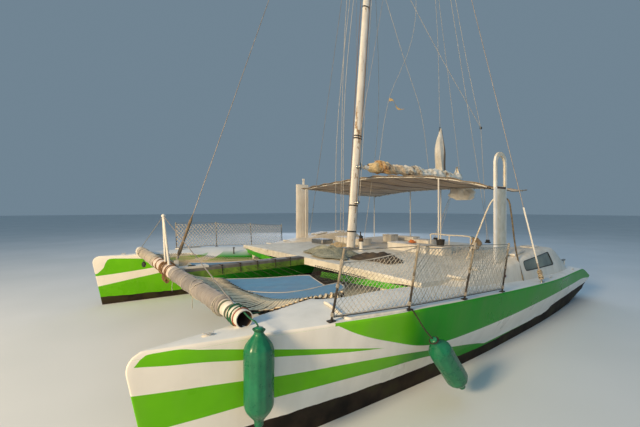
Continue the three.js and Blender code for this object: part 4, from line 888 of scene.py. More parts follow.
def roofGrid(side):
    # open arch of upright feet, slanting sides, rounded shoulders and a crowned top, carried along the hull
    at = np.concatenate([[4.4], np.linspace(4.45, 9.78, 110), [9.81]])
    top, foot, half = rowsOf(roof, ["top", "footHalf", "topHalf"], at)
    top[0] -= 0.06
    top[-1] -= 0.08
    rise = np.linspace(0, 1, 9)[1:]
    bend = np.linspace(0, 1, 8)[1:]
    knee = (1 - bend) ** 2, 2 * bend * (1 - bend), bend ** 2
    flat = np.array([0.75, 0.5, 0.25, 0.0])
    y = np.concatenate([foot, foot, lerp(foot, half + 0.03, rise),
        knee[0] * (half + 0.03) + knee[1] * (half + 0.004) + knee[2] * (half - 0.06),
        (half - 0.06) * flat], 1)
    z = np.concatenate([foot * 0 + roof["footZ"] - 0.1, foot * 0 + roof["footZ"],
        lerp(roof["footZ"], top - 0.08, rise),
        knee[0] * (top - 0.08) + knee[1] * (top - 0.01) + knee[2] * (top - 0.008),
        top - 0.008 * flat ** 2], 1)
    x = np.broadcast_to(hull["bowX"] - at[:, None], y.shape)
    half = np.stack([x, y, z], 2)
    grid = np.concatenate([half, half[:, -2::-1] * (1, -1, 1)], 1)
    grid[:, :, 1] = side * (hull["centre"] + grid[:, :, 1])
    return grid


def windowOutline(side, reach=0.06, count=6):
    # outline of the side window on the roof's slanting wall, its corners rounded
    corners = np.array(roof["window"])
    flat = []
    for k in range(4):
        here, before, after = corners[k], corners[k - 1], corners[(k + 1) % 4]
        start, end = here + unit(before - here) * reach, here + unit(after - here) * reach
        bend = np.linspace(0, 1, count)[:, None]
        flat.append((1 - bend) ** 2 * start + 2 * bend * (1 - bend) * here + bend ** 2 * end)
        flat.append(lerp(end, after + unit(here - after) * reach, np.linspace(0, 1, 8)[1:-1, None]))
    flat = np.concatenate(flat)
    y = side * (hull["centre"] + roofSide(flat[:, 0], flat[:, 1]))
    return np.stack([hull["bowX"] - flat[:, 0], y, flat[:, 1]], 1)


sharpAngle = 40
for side, sideName in ((1, "port"), (-1, "starboard")):
    shell = makePiece(f"{sideName}HullShell", gridPart(hullGrid(side)), "hull", "gelcoat")
    cutOut(shell, [boardSlot(side)])
    shell.data.set_sharp_from_angle(angle=math.radians(sharpAngle))
    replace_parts(shell, f"{sideName}_hull")
    cabin = makePiece(f"{sideName}RoofShell", gridPart(roofGrid(side)[:, ::side], wrap=False), "roof",
        "gelcoat", thick=(roof["thickness"], -1))
    applied(cabin)
    outline = windowOutline(side)
    through = (0, side * 0.2, 0)
    x, y, (length, width) = hull["bowX"] - roof["hatchAt"], side * hull["centre"], roof["hatchHalf"]
    hatchCut = boxPart((x - length, y - width, 1.3), (x + length, y + width, 1.8))
    cutOut(cabin, [gridPart(np.stack([outline - through, outline + through])), boardSlot(side), hatchCut])
    cabin.data.set_sharp_from_angle(angle=math.radians(sharpAngle))
    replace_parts(cabin, f"{sideName}_coachroof")
print("hulls and coachroofs made")


def pointsAt(corners, shares):
    # points of a smooth curve through the corners at shares of its length
    line = smoothPath(corners, 200)
    run = runOf(line)
    return sampled(np.asarray(shares) * run[-1], run, line)


def strands(starts, ends, radius, sag, sides, steps):
    # rods from each start to each end, hanging by a parabola of the sag
    t = np.linspace(0, 1, steps)[None, :, None]
    line = lerp(starts[:, None], ends[:, None], t) - np.array([0, 0, 1]) * (4 * sag * t * (1 - t))
    along = unit(ends - starts)[:, None]
    sideways = unit(np.cross(along, (0, 0, 1.0)))
    upward = np.cross(sideways, along)
    rings = line[:, :, None] + radius * circle(ringAngles(sides), sideways[:, :, None], upward[:, :, None])
    return [gridPart(ring) for ring in rings]


def netHeight(x, y, sag=0.07):
    # height of the trampolines: lowest midway between beam and deck, and between spine and hull
    return 1.215 - sag * np.sin(np.pi * np.clip((x - 1.5) / 3.0, 0, 1)) * np.sin(np.pi
        * np.clip(np.abs(y) / 3.1, 0, 1))


def clothBetween(inner, outer, rows=70, cols=40, ripple=0.006, seed=3):
    # cloth whose points lie straight between two edge curves, on the
    # trampolines' height, with small ripples that die out at the edges
    share = np.linspace(0, 1, rows)
    a, b = pointsAt(inner, share), pointsAt(outer, share)
    v = np.linspace(0, 1, cols)[None, :, None]
    plan = lerp(a[:, None], b[:, None], v)
    x, y = plan[:, :, 0], plan[:, :, 1]
    wave = np.random.default_rng(seed).uniform(0, fullTurn, (5, 2))
    swell = sum(np.sin(x * (4 + 3 * k) + wave[k, 0] + 2.2 * np.sin(y * 2.5 + k))
        * np.sin(y * (5 + 4 * k) + wave[k, 1]) for k in range(5)) / 3
    edge = np.sin(np.pi * np.clip(v[:, :, 0], 0, 1)) * np.sin(np.pi * share)[:, None]
    z = netHeight(x, y) + ripple * swell * np.sqrt(np.clip(edge, 0, 1))
    return np.stack([x, y, z], 2)


trampoline = {
    # edges of the coated sheets in plan, front corner first
    "front": {"inner": [(3.73, 0.74), (2.93, 1.03), (2.45, 1.2), (2.22, 1.36)],
        "outer": [(3.78, 1.7), (3.56, 1.98), (3.3, 2.19), (3.04, 2.25), (2.78, 2.27), (2.5, 2.22)]},
    "side": {"inner": [(3.79, 1.72), (3.57, 1.99), (3.31, 2.2), (3.05, 2.26), (2.5, 2.23), (2.2, 2.25)],
        "outer": [(3.8, 1.74), (3.76, 2.1), (3.75, 2.35), (3.71, 2.54), (3.6, 2.68), (3.42, 2.76),
            (3.1, 2.81), (2.75, 2.8), (2.45, 2.66), (2.3, 2.5)]},
    "starboard": {"inner": [(3.84, -0.3), (3.2, -0.3), (2.4, -0.3), (1.56, -0.3)],
        "outer": [(3.74, -1.7), (3.2, -1.45), (2.5, -1.15), (1.56, -0.75)]},
    "lacePitch": 0.104, "laceRadius": 0.031,
}


def clothPiece(name, key, seed):
    edges = trampoline[key]
    grid = clothBetween(edges["inner"], edges["outer"], seed=seed)
    cloth = makePiece(name, gridPart(grid, wrap=False), "sheet", "sailcloth", thick=(0.0025, -1))
    hem = [np.concatenate([grid[0, :1], grid[:, 0]]), grid[:, -1], grid[0], grid[-1]]
    rope = makePiece(name + "Hem", [ropePart(evenPath(line, 60), 0.011, 7) for line in hem], "whiteRope",
        "netting")
    span = runOf(grid[:, grid.shape[1] // 2])[-1]
    return grid


frontCloth = clothPiece("trampolineFrontSheet", "front", 3)
clothPiece("trampolineSideSheet", "side", 5)
clothPiece("trampolineStarboardSheet", "starboard", 8)


def withHeight(plan, lift=0.0):
    plan = np.asarray(plan, float)
    return np.concatenate([plan, (netHeight(plan[:, 0], plan[:, 1]) + lift)[:, None]], 1)


def shared(starts, ends, count):
    # places shared out evenly along the corners of two edges
    spread, step = np.linspace(0, 1, count), np.linspace(0, 1, len(ends))
    return sampled(spread, step, starts), sampled(spread, step, ends)


def crossLine(starts, ends, share, sag, radius, count, lift=0.0):
    # a line across the strands at a share of their length, hanging with them
    return tubePart(lerp(starts, ends, share) - (0, 0, sag * 4 * share * (1 - share) - lift), radius, count,
        5)


# ribbed lacing from the sheets' outer edges to the front beam and to the hull's inner gunwale
laceFrom = withHeight([(3.74, 0.76), (3.77, 1.25), (3.79, 1.72), (3.76, 2.1), (3.75, 2.35), (3.71, 2.54),
    (3.6, 2.68), (3.42, 2.76), (3.1, 2.81), (2.6, 2.79)])
laceTo = np.array([(4.46, 0.36, 1.3), (4.46, 1.0, 1.3), (4.46, 1.7, 1.3), (4.46, 2.2, 1.3),
    (4.46, 2.62, 1.29),
    (4.36, 3.05, 1.27), (4.06, 3.17, 1.25), (3.76, 3.08, 1.245), (3.3, 2.95, 1.235), (2.62, 2.86, 1.075)])
laceStart, laceEnd = shared(laceFrom, laceTo, int(runOf(smoothPath(laceTo, 200))[-1]
    / trampoline["lacePitch"]))
laceEnd += rng.normal(0, 0.004, laceEnd.shape)
lacing = strands(laceStart, laceEnd, trampoline["laceRadius"], 0.03, 8, 6)
crossing = [crossLine(laceStart[::6], laceEnd[::6], share, 0.03, 0.008, 80, 0.012) for share in (0.33, 0.66)]
makePiece("portLacing", lacing + crossing, "lace", "netting")

# starboard lacing, from the small sheet's slanting edge across to the other hull
starFrom = withHeight([(4.44, -0.4), (3.9, -1.3), (3.74, -1.7), (3.2, -1.45), (2.5, -1.15), (1.6, -0.75)])
starTo = np.array([(4.46, -0.9, 1.3), (4.44, -3.1, 1.28), (4.1, -3.17, 1.25), (3.5, -3.0, 1.24),
    (2.5, -2.84, 1.075), (1.6, -2.45, 1.02)])
starStart, starEnd = shared(starFrom, starTo, 62)
starNet = strands(starStart, starEnd, 0.008, 0.09, 5, 7)
starNet += [crossLine(starStart[::5], starEnd[::5], share, 0.09, 0.006, 60) for share in (0.2, 0.4, 0.6, 0.8)]
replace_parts(makePiece("starboardLacing", starNet, "rope", "netting"), "starboard_trampoline")

# net in the aft inner corner, in dark tarred rope that stands for the shadow there, and the few lines that
# hold the sheets to the spine
aftEdge = frontCloth[-1, ::2]
deckEdge = np.stack([np.full(len(aftEdge), 1.52), np.linspace(0.62, 2.28, len(aftEdge)),
    np.full(len(aftEdge), 1.2)], 1)
cornerNet = strands(aftEdge, deckEdge, 0.005, 0.05, 4, 6)
cornerNet += [tubePart(lerp(aftEdge, deckEdge, share) - (0, 0, 0.2 * share * (1 - share)), 0.005, 30, 4)
    for share in np.linspace(0.04, 0.96, 14)]
inner = frontCloth[4::9, 0]
spineSide = np.stack([inner[:, 0], np.full(len(inner), 0.13), np.full(len(inner), 1.24)], 1)
cornerNet += strands(inner, spineSide, 0.004, 0.0, 4, 3)
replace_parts(makePiece("portCornerNet", cornerNet, "darkRope", "netting"), "port_trampoline")
print("trampolines made")

beam = {"x": 4.555, "z": 1.352, "radius": 0.095}


def wrapGrid(start, end, seed, thick=0.012):
    # cloth wound round the beam: overlapping turns rise in a saw-tooth
    # along the beam, slanted by the winding, with puckers between them
    y = np.linspace(start, end, int((end - start) / 0.012))
    w = np.random.default_rng(seed).uniform(0, 6.28, 8)
    y, t = pairs(y, ringAngles(48))
    winding = y / 0.27 + t / fullTurn + 0.18 * np.sin(y * 2.1 + w[0]) + 0.1 * np.sin(t * 2 + w[1])
    saw = winding % 1.0
    fold = 0.009 * saw ** 0.6 * (1 - np.exp(-(1 - saw) * 26))
    pucker = 0.0035 * np.sin(y * 95 + 4 * np.sin(t * 2 + w[2]) + w[3]) * np.sin(t * 3 + w[4] + y * 9)
    lumps = 0.006 * np.sin(y * 5.3 + w[5]) * np.sin(t + w[6]) + 0.004 * np.sin(y * 17 + t * 2 + w[7])
    r = beam["radius"] + thick + fold + pucker + np.abs(lumps)
    ends = np.clip(np.minimum(y - start, end - y) / 0.03, 0, 1)
    r = beam["radius"] + 0.002 + (r - beam["radius"] - 0.002) * np.sqrt(ends)
    return np.stack([beam["x"] + r * np.cos(t), y, beam["z"] + r * np.sin(t)], 2)


def beamRing(y, radius, lean, tight):
    # a lashing turn round the beam; lean shifts it along the beam as it goes round
    turn = np.linspace(0, fullTurn, 29)
    path = np.stack([beam["x"] + tight * np.cos(turn), y + lean * np.sin(turn),
        beam["z"] + tight * np.sin(turn)], 1)
    return ropePart(path, radius, 6, (0, 1, 0))


# the port half takes the grey cloth that carries the painted shadow
for name, start, end, seed, kind in (("beamWrapStarboard", -3.2, -1.08, 3, "wrap"),
        ("beamWrapPort", 0.52, 2.96, 6, "wrapInShadow"), ("beamCollarWrap", -1.0, 0.42, 9, "collar")):
    grid = wrapGrid(start, end, seed, 0.006 if kind == "collar" else 0.012)
    cover = makePiece(name, gridPart(grid, caps=False), kind, "sailcloth", thick=(0.0015, -1))
lashings = [beamRing(y, 0.006, lean, 0.124) for y, lean in (
    (-2.7, 0.05), (-2.7, -0.05), (-1.9, 0.04), (-1.2, 0.03), (-1.14, -0.02), (0.75, 0.04), (1.42, 0.0),
    (1.95, 0.12), (1.95, -0.12), (2.84, 0.03), (2.9, 0.0))]
lashings += [tubePart([(beam["x"] + 0.09, y, beam["z"] - 0.09), (beam["x"] + 0.1, y + 0.01, beam["z"] - 0.17),
    (beam["x"] + 0.095, y, beam["z"] - 0.25)], 0.005, 12) for y in (0.75, 1.95)]
makePiece("beamLashings", lashings, "whiteRope", "netting")
redLash = [beamRing(y, 0.007, lean, 0.118) for y, lean in ((-0.62, 0.06), (-0.55, -0.07), (-0.9, 0.03),
    (0.22, 0.04), (0.3, -0.05), (0.36, 0.0))]
makePiece("beamRedLashings", redLash, "brownRope", "netting")
# worn strap wound once and a half round the bare port end, and the collar of tape at the starboard end
turn = np.linspace(-0.4, fullTurn * 1.25, 90)
strapAt = np.stack([beam["x"] + 0.0985 * np.cos(turn), 3.0 + 0.03 * turn, beam["z"] + 0.0985 * np.sin(turn)],
    1)
wide = np.array([-0.022, -0.008, 0.008, 0.022])
strap = strapAt[:, None] + wide[None, :, None] * np.array([0, 1.0, 0])
makePiece("beamStrap", gridPart(strap, wrap=False), "strap", "netting", thick=(0.003, 0))
collar = [gridPart(wrapGrid(-3.46, -3.22, 4, 0.006), caps=False),
    gridPart(wrapGrid(3.36, 3.4, 4, 0.003), caps=False)]
makePiece("beamEndTape", collar, "tube", "painted_aluminium", thick=(0.0015, -1))
# rusty lining inside each open end of the beam
linings = [lathePart([(0, 0.0), (0.001, 0.084), (0.02, 0.0852), (0.31, 0.0852), (0.311, 0.081), (0.02, 0.08),
    (0.012, 0.0)], (beam["x"], s * 3.185, beam["z"]), (0, s, 0), 32) for s in (1, -1)]
makePiece("beamLinings", linings, "rust", "dark_steel")
print("front beam dressed")


# Stanchions of both rails: place aft of the stem foot, outward flare; the nets hang on the ropes between them
rails = {
    "port": [(1.694, 0.2), (2.747, 0.13), (3.964, 0.15), (5.159, 0.1)],
    "starboard": [(1.913, 0.2), (3.232, 0.13), (4.522, 0.15), (5.799, 0.1)],
    "inset": 0.045, "height": 0.83, "twine": {"port": 0.003, "starboard": 0.0075},
    "mesh": {"port": (0.066, 0.09), "starboard": (0.11, 0.13)},
    "netTop": {"port": [0.8, 0.95, 0.96, 0.93], "starboard": [0.93, 0.95, 0.96, 0.95]},
}


def railPosts(sideName):
    side = 1 if sideName == "port" else -1
    at, flare = np.array(rails[sideName]).T
    y = side * (hull["centre"] + hullLine("deckHalf", at) - rails["inset"])
    foot = np.stack([hull["bowX"] - at, y, hullLine("sheer", at) + 0.002], 1)
    head = foot + np.stack([np.full(len(at), -0.02), side * flare, np.full(len(at), rails["height"])], 1)
    return foot, head


def netPoint(sideName, s, t):
    # a place on the net: s metres along the rail's feet, t from its lower rope to its
    # upper one; it hangs in between the stanchions by a sine and bulges inboard
    side = 1 if sideName == "port" else -1
    foot, head = railPosts(sideName)
    run = runOf(foot)
    low, high = sampled(s, run, foot), sampled(s, run, head)
    top = np.interp(s, run, rails["netTop"][sideName])
    bay = np.interp(s, run, np.arange(len(run)))
    hang = np.sin(np.pi * (bay % 1.0))
    share = lerp(0.07, top - 0.035 * hang, t)
    place = lerp(low, high, share[..., None])
    place[..., 1] -= side * (0.016 + 0.03 * hang * np.sin(np.pi * t))
    return place


def netFamily(sideName, pitch, height, lean, seed, first=0.0, last=None):
    # one direction of a diamond mesh: parallel slanting twines between the two ropes, cut off at the ends
    foot, head = railPosts(sideName)
    length = runOf(foot)[-1] if last is None else last
    reach, radius = 0.74 * pitch / height * lean, rails["twine"][sideName]
    noise = np.random.default_rng(seed)
    parts = []
    for start in np.arange(first - abs(reach), length + abs(reach), pitch):
        t = np.linspace(0, 1, 60)
        s = start + reach * t + 0.006 * np.sin(t * 17 + start * 9)
        inside = (s >= first) & (s <= length)
        if inside.sum() < 6:
            continue
        t = np.linspace(t[inside][0], t[inside][-1], max(3, int(9 * inside.sum() / 60)))
        s = start + reach * t + 0.007 * np.sin(t * 17 + start * 9) + noise.normal(0, 0.002, len(t))
        parts.append(ropePart(netPoint(sideName, np.clip(s, first, length), t), radius, 4, (1, 0.2, 0)))
    return parts


for sideName in ("port", "starboard"):
    foot, head = railPosts(sideName)
    run = runOf(foot)
    width, height = rails["mesh"][sideName]
    parts = netFamily(sideName, width, height, 1, 21) + netFamily(sideName, width, height, -1, 22)
    if sideName == "port":  # the net is doubled over aft of the second stanchion
        parts += netFamily(sideName, 0.13, 0.17, 1, 23, run[1], run[3])
        parts += netFamily(sideName, 0.13, 0.17, -1, 24, run[1], run[3])
    net = makePiece(f"{sideName}NetTwine", parts, "twine", "netting")
    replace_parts(net, f"{sideName}_rail_net")
    s = np.linspace(0, run[-1], 90)
    edges = [ropePart(netPoint(sideName, s, np.full(90, share)), 0.0065, 6) for share in (0.0, 1.0)]
    # twine turns that lash the ropes and the net to each stanchion, and the knots on top
    for k in range(4):
        for share, turns, radius in ((0.1, 4, 0.004), (0.5, 3, 0.0035),
                (rails["netTop"][sideName][k], 7, 0.005)):
            angle = np.linspace(0, fullTurn * turns, 14 * turns)
            axis = unit(head[k] - foot[k])
            coil = lerp(foot[k], head[k], share) + axis * (angle / angle[-1] - 0.5)[:, None] * 0.013 * turns
            coil += 0.019 * circle(angle, *axesRound(axis, (1, 0, 0)))
            edges.append(ropePart(coil, radius, 5, axis))
    makePiece(f"{sideName}NetRopes", edges, "whiteRope", "netting")
print("rail nets made")


# Mainsail flaked over the boom: outline of the bundle at places aft of the gooseneck pin
sail = {
    "pin": (-0.5651, 0.0, 3.7012), "at": [0.26, 0.6, 1.5, 2.6, 3.6, 4.6, 5.25],
    "half": [0.09, 0.15, 0.165, 0.17, 0.175, 0.16, 0.09], "low": [0.075, 0.135, 0.135, 0.12, 0.11, 0.105,
        0.08],
    "high": [0.13, 0.235, 0.225, 0.215, 0.22, 0.2, 0.16], "ties": [0.78, 1.62, 2.4, 3.3, 4.1, 4.85],
}
at = np.linspace(0.26, 5.25, 260)
half, low, high = rowsOf(sail, ["half", "low", "high"], at)
wave = np.random.default_rng(31).uniform(0, 6.28, 12)
a, t = pairs(at, ringAngles(83))
# pleats run along the boom, drift up and down it, and bunch up between the ties
pleat = (np.abs(np.sin(t * 4.5 + 1.4 * np.sin(a * 2.3 + wave[0]) + 0.8 * np.sin(a * 5.1 + wave[1]))) ** 0.6
    + 0.5 * np.sin(t * 9 + 2.2 * np.sin(a * 3.7 + wave[2]) + wave[3]))
lump = (np.sin(a * 4.1 + wave[4] + np.sin(t * 2)) + 0.8 * np.sin(a * 7.3 + 2 * np.sin(t + wave[5])) +
    0.8 * np.sin(a * 15 + t * 2 + wave[6]))
tied = np.ones_like(a) - 0.13 * np.exp(-((a[..., None] - np.array(sail["ties"])) / 0.055) ** 2).sum(-1)
swell = (0.84 + 0.06 * pleat + 0.14 * lump + 0.05 * np.sin(a * 23 + 3 * np.sin(t * 2 + wave[7]))
    * np.sin(t * 3 + wave[8])) * tied
swell = np.clip(swell, 0.68, 1.2)
bundle = np.stack([sail["pin"][0] - a, half * np.cos(t) * swell + 0.01 * np.sin(a * 6 + wave[7]),
    sail["pin"][2] + np.where(np.sin(t) > 0, high, low) * np.sin(t) * swell], 2)
bundlePiece = makePiece("furledSailCloth", gridPart(bundle, caps=False), "furled", "sailcloth", "boom",
    thick=(0.003, -1))
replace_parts(bundlePiece, "furled_mainsail")
# sail ties round the bundle, each with a knot and two short ends on top
ties = []
for k, place in enumerate(sail["ties"]):
    i = int(np.argmin(np.abs(at - place)))
    middle = np.array([sail["pin"][0] - place, 0, sail["pin"][2]])
    loop = np.concatenate([bundle[i], bundle[i, :2]])
    loop = middle + (loop - middle) * 1.03
    ties.append(ropePart(smoothPath(loop[::3], 90), 0.007, 6, (1, 0, 0)))
    top = loop[21]
    for s in (-1, 1):
        ties.append(tubePart([top, top + (0.03 * s, 0.03, 0.02), top + (0.07 * s, 0.07, -0.02)], 0.006, 10))
makePiece("sailTies", ties, "whiteRope", "netting", "boom")

# head of the sail, hoisted a little way: a leaf folded round its luff, open aft, with soft folds down it
head = {"x": -4.5, "at": [3.86, 4.0, 4.3, 4.55, 4.85, 5.15, 5.42],
    "forward": [0.12, 0.15, 0.23, 0.26, 0.2, 0.1, 0.015],
    "aft": [0.3, 0.29, 0.27, 0.26, 0.21, 0.12, 0.04], "half": [0.13, 0.13, 0.13, 0.125, 0.1, 0.06, 0.014]}
rise = np.linspace(3.87, 5.42, 90)
around = np.linspace(-0.84 * np.pi, 0.84 * np.pi, 60)
forward, aft, half = rowsOf(head, ["forward", "aft", "half"], rise)
z, t = pairs(rise, around)
fold = 1 + 0.12 * np.sin(t * 5 + z * 2.1 + wave[8]) * np.clip((5.4 - z) / 0.6, 0,
    1) + 0.05 * np.sin(t * 11 + z * 5)
leaf = np.stack([head["x"] + np.where(np.cos(t) > 0, forward, aft) * np.cos(t) + 0.05 * np.sin(z * 3.1),
    half * np.sin(t) * fold + 0.035 * np.sin(z * 4.0 + wave[9]) * np.clip((5.42 - z), 0, 1), z], 2)
leafPiece = makePiece("sailHeadCloth", gridPart(leaf, wrap=False), "sail", "sailcloth", "boom",
    thick=(0.002, 0))
# strip along its port leech, coloured dark as painted shadow, a grid that lies 4 mm proud of the leaf
strip = leaf[2:86, 50:] + (-0.0015, 0.006, 0)
leechShadowStrip = makePiece("leechShadowStrip", gridPart(strip, wrap=False), "leech", "sailcloth", "boom",
    thick=(0.002, 0))
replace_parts(leafPiece, "mainsail_head")
# worn padding inside the port board's hoop, an arc of tube wound with cloth
turn = np.linspace(0.08 * np.pi, 0.92 * np.pi, 60)
pad = np.stack([-0.96 + 0.196 * np.cos(turn), np.full(60, 3.62),
    3.408 + 0.196 * np.sin(turn) + 0.006 * np.sin(turn * 21)], 1)
makePiece("hoopPadding", ropePart(pad, 0.021, 10, (0, 1, 0), 0.8), "brownCanvas", "sailcloth", "port_board")
# headboard and shackle at the top of the sail, and the loose clew end that stands up as a peak
board = [boxPart((-4.55, -0.006, 5.28), (-4.44, 0.006, 5.44)),
    tubePart([(-4.5, -0.012, 5.42), (-4.5, -0.014, 5.47), (-4.5, 0, 5.5), (-4.5, 0.014, 5.47),
        (-4.5, 0.012, 5.42)], 0.005, 24)]
makePiece("headBoard", board, "bareAluminium", "bare_aluminium", "boom")
u, v = pairs(np.linspace(0, 1, 40), np.linspace(-1, 1, 30))
peak = np.stack([-5.6 - 0.26 * v * (1 - 0.75 * u) + 0.03 * np.sin(v * 9),
    0.02 + 0.1 * (1 - u) * np.cos(v * 1.57) * np.sin(v * 7 + 1),
    3.79 + 0.36 * u * (1 - 0.45 * np.abs(v)) + 0.02 * np.sin(v * 6 + u * 5)], 2)
peakPiece = makePiece("sailClewCloth", gridPart(peak, wrap=False), "furled", "sailcloth", "boom",
    thick=(0.002, 0))
print("sail made")

# Sun canopy: heights of its front and aft edges across the boat
canopy = {
    "at": [-3.4, -2.35, -1.0, 0.0, 1.0, 2.0, 2.6, 3.05, 3.4],
    "front": [3.27, 3.365, 3.446, 3.482, 3.415, 3.325, 3.195, 3.07, 2.965],
    "aft": [3.063, 3.13, 3.19, 3.185, 3.165, 3.13, 3.07, 3.015, 2.98],
    "frontAt": {1: 6.75, -1: 6.2}, "aftAt": {1: 8.28, -1: 10.2}, "half": 3.4, "sag": 0.035,
    "frames": (0.03, 0.96),
}


def canopyPoint(y, v):
    # height runs straight from the front edge to the aft edge, less a sine of the sag between them
    front, aft = readLines(canopy, "front", y), readLines(canopy, "aft", y)
    share = (y / canopy["half"] + 1) / 2
    start, end = (lerp(canopy[k][-1], canopy[k][1], share) for k in ("frontAt", "aftAt"))
    z = lerp(front, aft, v) - canopy["sag"] * np.sin(np.pi * v)
    return np.stack([hull["bowX"] - lerp(start, end, v), y + 0 * v, z], -1)


y, v = pairs(np.linspace(-canopy["half"], canopy["half"], 190), np.linspace(0, 1, 80))
awning = canopyPoint(y, v)
between = np.clip(np.sin(np.pi * np.clip((v - 0.03) / 0.93, 0, 1)), 0, 1)
# folds run fore and aft where the cloth is slack, a few slant from the corners, and the free edges flutter
slack = (0.011 * np.sin(y * 7 + 1.5 * np.sin(v * 3)) + 0.009 * np.sin(y * 13 + v * 6 + 1)
    + 0.012 * np.sin((y * 0.9 + v * 2.2) * 4.2)) * between
flutter = 0.014 * np.sin(y * 11 + 0.6) * (np.clip((0.03 - v) / 0.03, 0, 1) + np.clip((v - 0.96) / 0.04, 0, 1))
awning[..., 2] += slack + flutter - 0.014
awning[..., 0] += 0.02 * np.cos(y * 9.2) * np.clip((0.05 - v) / 0.05, 0, 1)
cover = makePiece("canopyCloth", gridPart(awning, wrap=False), "awning", "canopy_cloth", thick=(0.003, 0))
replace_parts(cover, "canopy")
edges = [awning[:, 0], awning[:, -1], awning[0], awning[-1]]
hem = [ropePart(evenPath(line, 120), 0.012, 7, (0, 0.3, 1)) for line in edges]
# taped seams run slanting across the cloth
seams = []
for start in (6, 38, 70, 102, 134, 160):
    j = np.arange(0, 80, 3)
    slant = awning[np.clip(start + j * 0.42, 0, 189).astype(int), j] - (0, 0, 0.006)
    seams.append(ropePart(evenPath(slant, 50), 0.02, 6, (0, 0, 1), 0.3))
makePiece("canopySeams", seams, "seamTape", "canopy_cloth")
# two sewn seams across the cloth
hem += [ropePart(evenPath(awning[i] - (0, 0, 0.003), 40), 0.006, 5) for i in (62, 126)]
hemPiece = makePiece("canopyHem", hem, "awningHem", "canopy_cloth")
# lashings from the hem round the frame tubes, and rope wound round the bare end of the port pole
lash = []
for v in (0.03, 0.96):
    for y in np.arange(-3.2, 3.25, 0.32):
        seat = canopyPoint(np.array(y), np.array(v)) - (0, 0, 0.036)
        angle = np.linspace(0, fullTurn * 2.2, 26)
        lash.append(ropePart(seat + np.stack([0.03 * np.cos(angle), 0.012 * angle / 6.28 - 0.012,
            0.032 * np.sin(angle)], 1), 0.004, 5, (0, 1, 0)))
makePiece("canopyLashings", lash, "whiteRope", "netting")
v = np.linspace(0.0, 0.36, 60)
poleLine = canopyPoint(np.full(60, (2 * 0.972 - 1) * canopy["half"]), v) - (0, 0, 0.038)
turns = 46
angle = np.linspace(0, fullTurn * turns, turns * 10)
line = evenPath(poleLine, len(angle))
along, sideways, lifted = framesOn(line, (0, 0, 1))
poleWrap = line + 0.0265 * circle(angle, sideways, lifted)
makePiece("poleWinding", ropePart(poleWrap, 0.008, 5, (0.3, 0.2, 1)), "darkRope", "netting")
# bunch of spare cloth tied up under the canopy's aft edge
u, t = pairs(np.linspace(0, 1, 50), ringAngles(60))
r = (0.1 + 0.2 * np.sin(np.pi * np.clip(u * 0.72 + 0.22, 0, 1)) ** 0.8) * (
    1 + 0.16 * np.sin(t * 6 + 3 * u) + 0.09 * np.sin(t * 13 - 5 * u) + 0.06 * np.sin(t * 3 + 9 * u))
bunch = np.stack([-3.4 + 0.6 * r * np.cos(t), 1.42 + 1.2 * r * np.sin(t) + 0.05 * u,
    3.13 - 0.36 * u + 0.03 * np.sin(t * 2) * np.sin(np.pi * u)], 2)
bunchPiece = makePiece("spareClothBunch", gridPart(bunch), "sail", "sailcloth")
print("canopy made")


# mast fittings: the sail track down its aft face, bands, halyards, winches and cleats
def mastPoint(along, forward=0.0, y=0.0):
    lean = math.radians(5)
    return np.array([-0.15 - along * math.sin(lean) + forward * math.cos(lean), y,
        1.435 + along * math.cos(lean) + forward * math.sin(lean)])


mastScale = {"at": [0.5, 7.0, 15.2, 18.3], "scale": [1.0, 0.84, 0.8, 0.62]}


def mastHalf(along):
    # half length and half width of the mast's section at a height
    scale = float(readLines(mastScale, "scale", along))
    return 0.15 * scale, 0.084 * scale


stations = np.linspace(0.25, 18.2, 40)
trackLine = np.array([mastPoint(s, -mastHalf(s)[0] - 0.004) for s in stations])
track = trackLine[:, None] + np.array([(0.008, -0.012, 0), (0.008, 0.012, 0), (-0.008, 0.016, 0),
    (-0.008, -0.016, 0)])
dark = []
for s in (0.42, 1.15, 3.05, 3.12, 6.9, 12.0):
    a, b = mastHalf(s)
    ring = np.array([mastPoint(s, (a + 0.004) * math.cos(t), (b + 0.004) * math.sin(t))
        for t in ringAngles(40)])
    dark.append(gridPart(np.stack([ring, ring + (0, 0, 0.035)]), caps=False))
makePiece("mastTrack", gridPart(track), "bareAluminium", "bare_aluminium")
makePiece("mastBands", dark, "blackPlastic", "dark_steel", thick=(0.004, 1))
drumProfile = [(0, 0.0), (0.001, 0.05), (0.02, 0.056), (0.03, 0.042), (0.075, 0.038), (0.1, 0.05),
    (0.108, 0.054), (0.118, 0.03), (0.13, 0.028), (0.131, 0.0)]
drums = [lathePart(drumProfile, mastPoint(s, forward, side * 0.078), (0, side, 0), 24)
    for s, forward, side in ((1.25, 0.0, 1), (1.75, -0.02, -1), (2.25, 0.02, 1))]
makePiece("mastWinches", drums, "stainless", "stainless")
cleats = []
for s, side in ((0.75, 1), (0.95, -1), (1.5, -1)):
    base, tip, out = mastPoint(s, 0.02, side * 0.092), np.array((0, 0, 0.07)), np.array((0, side * 0.02, 0))
    cleats += [tubePart([base - tip, base + 0.9 * out, base + tip], 0.009, 12),
        rodPart(base - out, base + out, 0.01)]
makePiece("mastCleats", cleats, "bareAluminium", "bare_aluminium")
